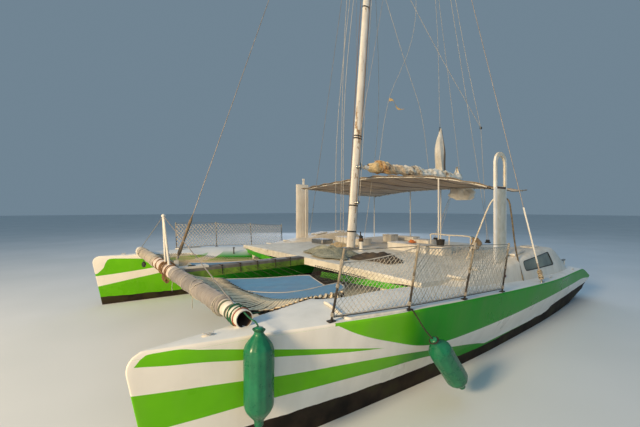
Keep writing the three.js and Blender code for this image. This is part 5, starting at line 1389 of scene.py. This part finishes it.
halyards = {
    "whiteRope": [[mastPoint(17.9, -0.14, 0.02), mastPoint(9, -0.16, 0.03), mastPoint(1.3, -0.13, 0.1)],
        [mastPoint(17.6, 0.1, -0.05), (-0.35, -0.34, 9.0), (-0.12, -0.42, 1.4)],
        [mastPoint(14.5, 0.1, -0.05), (-0.3, -0.62, 6.0), (-0.2, -0.72, 1.4)],
        [mastPoint(12.5, 0.08, -0.04), (-0.25, -0.28, 6.5), (-0.1, -0.27, 1.42)]],
    "brownRope": [[mastPoint(17.7, 0.11, -0.03), mastPoint(8, 0.12, -0.11), mastPoint(0.75, 0.06, -0.115)],
        [mastPoint(12.0, -0.06, 0.08), mastPoint(6, -0.05, 0.088), mastPoint(0.95, 0.0, 0.105)]],
}
for kind, lines in halyards.items():
    makePiece(f"{kind}Halyards", [tubePart(line, 0.0075, 30, 6, (1, 0.3, 0)) for line in lines], kind,
        "wire_rope")
# topping lift, halyard and lazy jacks end on the boom; the mainsheet runs from boom end to deck
truck = (-2.2, 0.0, 19.66)
boomLines = {
    "toppingLift": [truck, (-4.03, 0.0, 11.7), (-5.86, 0.0, 3.79)],
    "sailHalyard": [truck, (-3.3, 0.0, 14.6), (-4.22, 0.0, 9.92), (-4.5, 0.0, 5.49)],
    "lazyJackFore": [mastPoint(15.2, -0.1), (-3.1, 0.0, 9.48), (-1.72, 0.0, 5.81), (-1.25, 0.05, 3.93)],
    "lazyJackMid": [mastPoint(8.6, -0.14, -0.02), (-2.5, -0.02, 7.35), (-3.4, -0.02, 5.76),
        (-3.89, -0.05, 3.9)],
}
for name, points in boomLines.items():
    rope = makePiece(name, tubePart(points, 0.0065, 50, 6, (0, 1, 0)), "whiteRope", "wire_rope", None)
    tuple(float(c) for c in points[0])
    tuple(points[-1])
    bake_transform(rope)
# running backstay: from the masthead and from the spreaders to
# a block over the port quarter, and from there to the deck
runnerBlock = np.array([-4.6, 1.42, 5.15])
runner = [tubePart(points, 0.0065, 60, 6, (0, 1, 0)) for points in (
    [mastPoint(9.4, -0.14), lerp(mastPoint(9.4, -0.14), runnerBlock, 0.5) - (0, 0, 0.12), runnerBlock],
    [truck, (-3.81, 1.0, 9.2), (-4.43, 1.42, 5.49), runnerBlock], [runnerBlock, (-4.96, 1.44, 1.45)],
    [truck, (-4.96, 1.5, 1.45)], [mastPoint(9.3, -0.13, -0.05), (-1.6, -0.3, 5.6), (-1.2, -0.55, 1.42)])]
makePiece("runningBackstay", runner, "whiteRope", "wire_rope")


def pulley(centre, axis, half, cheek, waist, rim, sides=20):
    # a pulley block: its rim bulges between two cheeks
    profile = [(half, 0.0), (half - 0.001, cheek), (waist, rim)]
    return lathePart([(-a, r) for a, r in profile] + profile[::-1], centre, axis, sides)


blocks = [pulley(place, (0.3, 1, 0), 0.02, 0.032, 0.01, 0.045)
    for place in (runnerBlock, (-4.96, 1.44, 1.44), (-4.96, 1.5, 1.44))]
blocks += [boxPart((-5.02, 1.4, 1.37), (-4.9, 1.54, 1.41))]
makePiece("runnerBlocks", blocks, "blackPlastic", "dark_steel")
falls = []
for k, foot in enumerate(((-4.25, -0.07, 1.49), (-4.2, 0.0, 1.49), (-4.3, 0.07, 1.49))):
    boomEnd = np.array([-5.62 + 0.04 * k, 0.03 * k - 0.03, 3.62])
    falls.append(ropePart(lerp(boomEnd, np.array(foot), np.linspace(0, 1, 20)[:, None]), 0.006, 6,
        (0, 1, 0.1)))
sheet = makePiece("mainSheet", falls, "whiteRope", "wire_rope", None)
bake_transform(sheet)
blocks = [pulley((-4.25, y, 1.45), (0, 1, 0), 0.022, 0.03, 0.012, 0.04) for y in (-0.07, 0.0, 0.07)]
blocks += [boxPart((-4.3, -0.1, 1.375), (-4.2, 0.1, 1.42))]
makePiece("sheetDeckBlock", blocks, "blackPlastic", "dark_steel")
blocks = [pulley((-5.6, y, 3.6), (0, 1, 0), 0.022, 0.03, 0.012, 0.04) for y in (-0.03, 0.03)]
makePiece("sheetBoomBlock", blocks, "blackPlastic", "dark_steel", "boom")
# torn rag on the fore lazy jack
u, v = pairs(np.linspace(0, 1, 40), np.linspace(-1, 1, 8))
torn = 0.05 * (1 - 0.5 * u) * (0.6 + 0.4 * np.sin(u * 11 + 1))
flag = np.stack([-1.73 - 0.42 * u, 0.02 + 0.22 * u + 0.03 * np.sin(u * 8),
    5.86 - 0.3 * u + v * torn + 0.05 * np.sin(u * 7)], 2)
flagPiece = makePiece("tornRag", gridPart(flag, wrap=False), "canvas", "sailcloth", None, thick=(0.002, 0))
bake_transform(flagPiece)
print("rigging made")


def squareRing(angle, power):
    # a circle pressed towards a square by a power of its cosine and sine
    c, s = np.cos(angle), np.sin(angle)
    return np.stack([np.sign(c) * np.abs(c) ** power, np.sign(s) * np.abs(s) ** power], 1)


# green panel under the deck's front edge, sloping down from each hull, with a flange along its lower edge
panel = {"at": [0.85, 1.4, 1.95, 2.6, 3.3], "top": [1.083, 1.115, 1.143, 1.17, 1.197],
    "low": [0.97, 1.0, 1.027, 1.072, 1.136]}
for side, sideName in ((1, "port"), (-1, "starboard")):
    y = np.linspace(0.85, 3.28, 40)
    top, low = rowsOf(panel, ["top", "low"], y)
    section = np.array([(0.008, 0, 1), (0.034, 0, 1), (0.034, 0.03, 0), (0.075, 0.016, 0), (0.075, 0.0, 0),
        (0.008, 0.0, 0)])
    # each corner of the section: distance in front of the deck,
    # height above the lower edge, whether it is at the top
    rise = np.where(section[:, 2] > 0, top, low + section[:, 1])
    ahead, sideways = np.broadcast_arrays(1.502 + section[:, 0], side * y[:, None])
    front = makePiece(f"{sideName}FrontPanel", gridPart(np.stack([ahead, sideways, rise], 2)), "limePanel",
        "gelcoat", smooth=False)
    edge = front.modifiers.new("edge", "BEVEL")
    edge.width, edge.segments = 0.004, 2
    # pale lip along the deck's front edge above it
    lipY = np.linspace(1.75, 3.42, 30)
    lipZ = np.where(lipY < 2.45, 1.318, lerp(1.318, 1.3, (lipY - 2.45) / 1.05)) + 0.004
    lip = np.stack([np.full(30, 1.5), side * lipY, lipZ], 1)
    section = np.array([(-0.05, 0, -0.008), (0.014, 0, -0.008), (0.014, 0, -0.05), (0.024, 0, -0.05),
        (0.024, 0, 0.004), (-0.05, 0, 0.004)])
    makePiece(f"{sideName}DeckLip", gridPart(lip[:, None] + section), "box", "gelcoat", smooth=False)

    # toe rail along the outboard deck edge, forward, bent inboard over the deck at its fore end
    at = np.linspace(1.9, 2.72, 30)
    edgeY = hull["centre"] + hullLine("deckHalf", at) - 0.036
    toe = np.stack([hull["bowX"] - at, side * edgeY, hullLine("sheer", at) + 0.012], 1)
    bend = np.array([(3.44, side * 3.42, 1.315), (3.46, side * 3.56, 1.312), (3.5, side * 3.74, 1.3),
        (3.53, side * 3.86, 1.285)])
    toe = smoothPath(np.concatenate([bend, toe[::4]]), 90)
    makePiece(f"{sideName}ToeRail", ropePart(toe, 0.015, 10, (0, 0, 1), 1.3), "tube", "painted_aluminium")

    # window seal, and its pane's thin frame
    ring = windowOutline(side)
    ring = np.concatenate([ring, ring[:1]])
    seal = [ropePart(evenPath(ring, 120), 0.009, 6, (0, 1, 0.1))]
    split = lerp(ring[:, 0].min(), ring[:, 0].max(), 0.36)
    near = ring[np.abs(ring[:, 0] - split) < 0.05]
    seal.append(rodPart(near[near[:, 2].argmin()], near[near[:, 2].argmax()], 0.008))
    makePiece(f"{sideName}WindowSeal", seal, "rubber", "dark_steel")

    # small fixed hatches and vents on the roof, and the maroon cap on its side
    vents = []
    for x, length, width in ((0.42, 0.34, 0.3), (-0.18, 0.2, 0.2), (-2.75, 0.36, 0.32)):
        z = float(roofTop(hull["bowX"] - x))
        y0 = side * hull["centre"]
        tilt = (float(roofTop(hull["bowX"] - x - 0.1)) - float(roofTop(hull["bowX"] - x + 0.1))) / 0.2
        square = squareRing(ringAngles(40), 0.35) * (length / 2, width / 2)
        rows = []
        for scale, high in ((1.0, -0.012), (1.0, 0.022), (0.94, 0.03), (0.9, 0.03), (0.88, 0.024),
                (0.3, 0.028)):
            plan = square * scale
            rows.append(np.stack([x + plan[:, 0], y0 + plan[:, 1], z + high - tilt * plan[:, 0]], 1))
        vents.append(gridPart(np.array(rows)))
    makePiece(f"{sideName}RoofHatches", vents, "box", "gelcoat", smoothAngle=35)
    capY = side * (hull["centre"] + float(roofSide(np.array(6.0), np.array(1.22))) - 0.002)
    makePiece(f"{sideName}RoofCap", lathePart([(0, 0.0), (0.0, 0.034), (0.012, 0.034), (0.02, 0.024),
        (0.024, 0.0)], (-0.6, capY, 1.22), (0, side, 0.28), 20), "maroon", "deck_paint")

    # bow cleat, mooring cleat by the coachroof, and the chainplate's pad
    cleat = []
    for x, out, lift, k in ((4.93, 0.0, 0.01, 0.6), (-2.3, 0.58, 0.0, 0.9), (-4.1, 0.5, 0.0, 0.9)):
        base = np.array([x, side * (hull["centre"] + out), float(hullLine("sheer", hull["bowX"] - x)) + lift])
        horn = base + k * np.array([(0.09, 0, 0.045), (0.03, 0, 0.038), (-0.03, 0, 0.038), (-0.09, 0, 0.045)])
        cleat += [tubePart(horn, 0.01 * k, 16, 8), rodPart(base + (0.03 * k, 0, -0.01), horn[1], 0.009 * k),
            rodPart(base - (0.03 * k, 0, 0.01), horn[2], 0.009 * k),
            boxPart(base + (-0.06, -0.02, -0.012), base + (0.06, 0.02, 0.004))]
    makePiece(f"{sideName}Cleats", cleat, "box", "painted_aluminium")

    # foot of the shroud: pad, toggle and the hose drawn over the wire
    foot = np.array([-1.6, side * (hull["centre"] + float(hullLine("deckHalf", 7.0)) - 0.06),
        float(hullLine("sheer", 7.0)) + 0.004])
    top = mastPoint(17.7, 0.0, side * 0.04)
    up = unit(top - foot)
    shroud = [boxPart(foot - (0.07, 0.03, 0.012), foot + (0.07, 0.03, 0.008)),
        lathePart([(0.0, 0.0), (0.001, 0.02), (0.05, 0.017),
            (0.06, 0.014), (0.07, 0.012)], foot + up * 0.02, up, 14)]
    makePiece(f"{sideName}ChainPlate", shroud, "stainless", "stainless")
    sleeve = lathePart([(0.0, 0.012), (0.004, 0.017), (0.3, 0.0165), (0.8, 0.0165), (1.17, 0.017),
        (1.18, 0.012)], foot + up * 0.38, up, 14)
    makePiece(f"{sideName}ShroudHose", sleeve, "tube", "painted_aluminium")
    knot, u = [], np.linspace(0, fullTurn, 30)
    for k in range(6):
        outward, other = axesRound(up, (1, 0.2 * k, 0))
        turnOf = circle(u, outward, 0.35 * math.sin(k * 1.7) * up - other)
        knot.append(ropePart(foot + up * (0.07 + 0.032 * k) + (0.034 + 0.006 * math.sin(k * 2)) * turnOf,
            0.014, 7, up))
    makePiece(f"{sideName}ShroudKnot", knot, "rope", "netting")
print("deck edges dressed")


def softHeap(name, centre, reach, height, seed, look, body="platform"):
    # heap of folded stuff: a dome of rings round its middle, its height a smooth bump broken by folded waves
    w = np.random.default_rng(seed).uniform(0, 6.28, 10)
    r, t = pairs(np.linspace(0.02, 1, 46), ringAngles(96))
    out = 1 + 0.15 * np.sin(t * 3 + w[0]) + 0.1 * np.sin(t * 5 + w[1]) + 0.06 * np.sin(t * 9 + w[7]) * r
    x, y = r * np.cos(t) * out, r * np.sin(t) * out
    # rounded folds with creases between them, two families that
    # cross, and small wrinkles; one side of the heap is higher
    fold = (np.abs(np.sin(x * 4.2 + 1.3 * np.sin(y * 3 + w[2]) + w[3])) ** 0.7
        + 0.6 * np.abs(np.sin(y * 7 + 1.4 * np.sin(x * 5 + w[4]))) ** 0.8
        + 0.22 * np.abs(np.sin((x + y) * 13 + w[5] + 1.2 * np.sin(x * 6)))
        + 0.1 * np.abs(np.sin((x - y) * 21 + w[6])))
    bump = np.clip(1 - r ** 2.2, 0, 1) * (1 + 0.25 * np.sin(x * 2.4 + w[8]) + 0.2 * np.sin(y * 3.1 + w[9]))
    z = height * bump * (0.36 + 0.34 * fold)
    grid = np.stack([centre[0] + reach[0] * x, centre[1] + reach[1] * y, centre[2] + z], 2)
    heap = makePiece(name, gridPart(grid, caps=False), look, "netting", body, thick=(0.004, -1))


softHeap("foldedNetPile", (0.88, 0.4, 1.376), (0.5, 0.82), 0.17, 51, "greyNet")
softHeap("tarredNetPile", (0.52, 1.62, 1.376), (0.42, 0.66), 0.14, 52, "brownNet")
softHeap("canvasPile", (-0.55, -0.75, 1.376), (0.42, 0.5), 0.13, 53, "canvas")
softHeap("starboardCanvasPile", (-2.0, -2.3, 1.376), (0.45, 0.4), 0.14, 54, "wrap")
softHeap("lockerRag", (-1.42, 1.12, 1.5855), (0.12, 0.1), 0.07, 55, "orangeCloth", "port_locker_lid")


deckZ = 1.375


def deckBox(x0, x1, y0, y1, bottom, top, radius=0.02):
    # box with rounded upright corners and eased edges, its heights from
    # the deck: a rounded outline that shrinks at the bottom and the top
    z0, z1 = deckZ + bottom, deckZ + top
    near, far, right, left = x0 + radius, x1 - radius, y0 + radius, y1 - radius
    turn = np.repeat(np.arange(4), 5) * np.pi / 2 + np.tile(np.linspace(0, np.pi / 2, 5), 4)
    ring = np.repeat([(far, left), (near, left), (near, right), (far, right)], 5, axis=0)
    ring = ring + radius * np.stack([np.cos(turn), np.sin(turn)], 1)
    middle = np.array([(x0 + x1) / 2, (y0 + y1) / 2])
    rows = []
    for shrink, z in ((0.01, z0), (0.0, z0 + 0.01), (0.0, z1 - 0.02), (0.004, z1 - 0.008),
            (0.012, z1 - 0.002), (0.02, z1)):
        plan = middle + (ring - middle) * (1 - shrink / max(x1 - x0, 0.1) * 2)
        rows.append(np.concatenate([plan, np.full((len(plan), 1), z)], 1))
    return gridPart(np.array(rows))


boxes = {
    "coolBox": ([deckBox(-2.95, -2.55, -0.98, -0.62, 0, 0.2),
        deckBox(-2.96, -2.54, -0.99, -0.61, 0.203, 0.25)], "box", "gelcoat"),
    "creamBox": ([deckBox(-1.52, -1.1, 1.86, 2.22, -0.02, 0.17),
        deckBox(-1.53, -1.09, 1.85, 2.23, 0.173, 0.2)], "roof", "gelcoat"),
    "blackBucket": ([lathePart([(0.0, 0.0), (0.001, 0.085), (0.15, 0.105), (0.158, 0.112), (0.165, 0.105),
        (0.16, 0.098), (0.02, 0.08), (0.018, 0.0)],
        (-1.31, 2.04, deckZ + 0.2), sides=28)], "blackPlastic", "dark_steel"),
    "sideCrate": (deckBox(-2.35, -1.95, 1.55, 1.95, 0, 0.12), "roof", "gelcoat"),
    "paleCase": (deckBox(-3.1, -2.6, 0.2, 0.8, 0, 0.16, 0.03), "box", "gelcoat"),
    "greyCase": (deckBox(-0.75, -0.3, -2.1, -1.5, 0, 0.14, 0.03), "bareAluminium", "bare_aluminium"),
}
for name, (parts, kind, slot) in boxes.items():
    makePiece(name, parts, kind, slot, smoothAngle=40)

# winch on its pillar beside the mast, with the turns of a brown halyard round its drum
winchX, winchY = -0.14, 0.42
pillar = lathePart([(0.0, 0.0), (0.001, 0.085), (0.012, 0.085), (0.02, 0.052), (0.2, 0.045), (0.235, 0.06),
    (0.25, 0.06), (0.251, 0.0)], (winchX, winchY, deckZ), sides=28)
makePiece("winchPillar", pillar, "box", "painted_aluminium", smoothAngle=40)
drum = lathePart([(0.0, 0.0), (0.001, 0.062), (0.02, 0.066), (0.035, 0.048), (0.09, 0.045), (0.12, 0.058),
    (0.135, 0.06), (0.15, 0.03), (0.16, 0.028), (0.161, 0.0)], (winchX, winchY, deckZ + 0.252), sides=28)
makePiece("winchDrum", [drum, tubePart([(winchX, winchY, deckZ + 0.41), (-0.1, 0.46, deckZ + 0.425),
    (0.02, 0.56, deckZ + 0.425)], 0.012, 14, 8),
    rodPart((0.02, 0.56, deckZ + 0.42), (0.02, 0.56, deckZ + 0.53), 0.016, 10)], "blackPlastic", "dark_steel")
angle = np.linspace(0, fullTurn * 4.5, 120)
turns = np.stack([winchX + 0.055 * np.cos(angle), winchY + 0.055 * np.sin(angle),
    deckZ + 0.29 + 0.0115 * angle / 6.283], 1)
makePiece("winchTurns", ropePart(turns, 0.0058, 6), "brownRope", "netting")

# white rail across the after deck on three legs, and the bag that hangs on its port end
railX, railZ = -2.6, 1.745
helmRail = [tubePart([(railX, 0.9, 1.64), (railX, 0.93, railZ), (railX, 1.5, railZ), (railX, 2.08, railZ),
    (railX, 2.13, 1.64)], 0.019, 60, 12, (1, 0, 0))]
helmRail += [rodPart((railX, y, deckZ - 0.005), (railX, y, 1.65 if y != 1.5 else railZ), 0.017, 12)
    for y in (0.9, 1.5, 2.13)]
makePiece("afterRail", helmRail, "tube", "painted_aluminium")
u, t = pairs(np.linspace(0, 1, 36), ringAngles(48))
r = (0.03 + 0.105 * np.sin(np.pi * np.clip(u ** 1.5 * 0.86 + 0.1, 0, 1)) ** 0.7) * (1
    + 0.12 * np.sin(t * 3 + 4 * u) + 0.07 * np.sin(t * 8 - 6 * u))
bag = np.stack([railX + 0.8 * r * np.cos(t), 2.25 + r * np.sin(t) + 0.04 * np.sin(u * 5),
    1.73 - 0.33 * u + 0.02 * np.sin(t * 2 + 1) * u], 2)
bagPiece = makePiece("hangingBag", gridPart(bag), "brownCanvas", "sailcloth")
makePiece("bagTie", [tubePart([(railX, 2.25, 1.72), (railX, 2.17, 1.76), (railX, 2.12, 1.725)], 0.006, 16)],
    "greenRope", "netting")

# the forestay's sleeve with its seizings, and the eye in the nose plate
stayFoot, stayTop = np.array([4.41, 0.0, 1.485]), mastPoint(17.7, 0.12)
stayUp = unit(stayTop - stayFoot)
s, t = pairs(np.linspace(0.1, 0.95, 90), ringAngles(18))
radius = (0.034 - 0.014 * s + 0.004 * np.abs(np.sin(s * 22 + t))
    + 0.003 * np.sin(s * 9 + 1)) * np.clip((0.97 - s) / 0.12, 0.4, 1) * np.clip((s - 0.06) / 0.1, 0.4, 1)
sleeve = stayFoot + s[..., None] * stayUp + radius[..., None] * circle(t, *axesRound(stayUp, (0, 1, 0)))
makePiece("forestaySleeve", gridPart(sleeve), "brownCanvas", "sailcloth")
u = ringAngles(40)
hole = np.stack([4.12 + 0.06 * np.cos(u), 0.034 * np.sin(u)], 1)
horn = [gridPart(np.array([np.concatenate([hole.mean(0) + (hole - hole.mean(0)) * k, np.full((40, 1), z)], 1)
    for k, z in ((1.25, 1.3705), (1.25, 1.377), (1.12, 1.381), (1.0, 1.377), (0.9, 1.3735),
        (0.05, 1.3725))]))]
makePiece("noseEye", horn, "blackPlastic", "dark_steel")
# turns of line on the spine and round the beam's ends and middle, and a block slung under the beam
sling = [beamRing(-0.2 + 0.035 * k, 0.009, 0.03 * math.sin(k * 2.3), 0.128 + 0.008 * math.sin(k * 1.7))
    for k in range(9)]
sling += [tubePart([(4.6, -0.25 + 0.06 * k, 1.24), (4.62, -0.2 + 0.06 * k, 1.15 - 0.02 * math.sin(k * 2)),
    (4.57, -0.15 + 0.06 * k, 1.12), (4.52, -0.2 + 0.06 * k, 1.24)], 0.009, 24) for k in range(5)]
makePiece("beamCentreLashing", sling, "brownRope", "netting")
slungAt = -2.78
makePiece("slungBlock", [tubePart([(beam["x"], slungAt, 1.25), (4.56, slungAt + 0.01, 1.18),
    (beam["x"], slungAt, 1.12)], 0.006, 12), beamRing(slungAt, 0.006, 0.01, 0.124),
    pulley((beam["x"], slungAt, 1.06), (1, 0.3, 0), 0.035, 0.05, 0.02, 0.072, 22)], "blackPlastic",
    "dark_steel")
bollard = lathePart([(0.0, 0.0), (0.001, 0.03), (0.01, 0.03), (0.02, 0.018), (0.16, 0.016), (0.17, 0.03),
    (0.2, 0.03), (0.205, 0.0)], (2.05, -2.95, 1.11), sides=20)
makePiece("starboardPost", bollard, "blackPlastic", "dark_steel", smoothAngle=40)
knots = []
for x in (3.55, 3.15, 2.75, 2.3, 1.9):
    u = np.linspace(0, fullTurn, 37)
    # rounded square turn of line round the spine's box
    box = squareRing(u, 0.5) * (0.13, 0.102) + (0, 1.235)
    knots.append(ropePart(np.concatenate([x + 0.01 * np.sin(u * 2)[:, None], box], 1), 0.007, 6, (1, 0, 0)))
    knots.append(lathePart([(-0.02, 0.0), (-0.015, 0.014), (0.0, 0.019), (0.015, 0.014), (0.02, 0.0)],
        (x, 0.12, 1.338), (1, 0.3, 0), 10))
makePiece("spineTurns", knots, "darkRope", "netting")
greens = [beamRing(3.27, 0.006, 0.02, 0.103), beamRing(3.29, 0.006, -0.03, 0.103),
    tubePart([(4.46, 3.27, 1.33), (4.4, 3.2, 1.29), (4.33, 3.13, 1.275), (4.2, 3.14, 1.262)], 0.006, 20)]
makePiece("beamGreenLashing", greens, "greenRope", "netting")
oranges = [beamRing(3.42, 0.005, 0.012, 0.102), tubePart([(4.5, 3.42, 1.27), (4.47, 3.4, 1.262),
    (4.4, 3.42, 1.262)], 0.005, 16)]
makePiece("beamOrangeLashing", oranges, "orangeRope", "netting")
print("deck gear made")

# Fenders: a moulded body with a ribbed neck and eye at each end, on its rope
fender = {"length": 0.95, "sides": 72, "end": [
    (0.0, 0.0), (0.001, 0.03), (0.012, 0.044), (0.04, 0.045), (0.066, 0.05), (0.1, 0.077), (0.14, 0.11),
    (0.175, 0.133), (0.21, 0.144), (0.3, 0.148), (0.475, 0.149)]}


def fenderPieces(name, foot, top, node_, ropeLook, knots):
    foot, top = np.array(foot), np.array(top)
    up = unit(top - foot)
    profile = np.array(fender["end"] + [(fender["length"] - a, r) for a, r in fender["end"][-2::-1]])
    bodyPart = lathePart(np.concatenate([profile[:1], smoothPath(profile[1:-1], 90), profile[-1:]]), foot, up,
        fender["sides"])
    # twelve shallow flutes moulded lengthwise, and the skin pushed in by a few millimetres in long patches
    p = bodyPart["points"]
    along = (p - foot) @ up
    axis = foot + along[:, None] * up
    around = np.arctan2((p - axis)[:, 1], (p - axis)[:, 0])
    dent = 1 - (0.03 * np.clip(np.sin(along * 7 + around * 2), 0, 1)
        + 0.038 * (1 - np.abs(np.cos(around * 6))) ** 0.6) * np.sin(
            np.pi * np.clip(along / fender["length"], 0, 1)) ** 0.5
    bodyPart["points"] = axis + (p - axis) * dent[:, None]
    piece = makePiece(name, bodyPart, "vinyl", "fender_vinyl")
    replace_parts(piece, node_)
    rope = [tubePart(knots, 0.0085, 12 * len(knots), 8)]
    u = np.linspace(0, fullTurn, 26)
    round_ = circle(-u, *axesRound(up, (1, 0.3, 0.1)))
    for k in range(4):
        rope.append(ropePart(foot + up * (0.915 + 0.004 * k) + (0.047 + 0.003 * k) * round_
            + up * 0.008 * np.sin(u)[:, None], 0.0075, 7, up))
    makePiece(name + "Rope", rope, ropeLook, "netting")


fenderPieces("bowFenderBody", (beam["x"], 3.83, 0.42), (beam["x"], 3.83, 1.37), "bow_fender", "greenRope",
    [(beam["x"], 3.83, 1.36), (beam["x"], 3.76, 1.395), (beam["x"], 3.62, 1.4), (beam["x"], 3.5, 1.42),
        (beam["x"], 3.38, 1.452)])
makePiece("bowFenderHitch", [beamRing(3.38, 0.0085, 0.0, 0.106), beamRing(3.36, 0.0085, 0.02, 0.107)],
    "greenRope", "netting")
fenderPieces("sideFenderBody", (1.905, 4.4, 0.16), (2.48, 4.345, 0.915), "side_fender", "darkRope",
    [(2.47, 4.345, 0.9), (2.54, 4.27, 1.02), (2.6, 4.19, 1.18), (2.63, 4.15, 1.245), (2.65, 4.12, 1.262)])
print("fenders made")
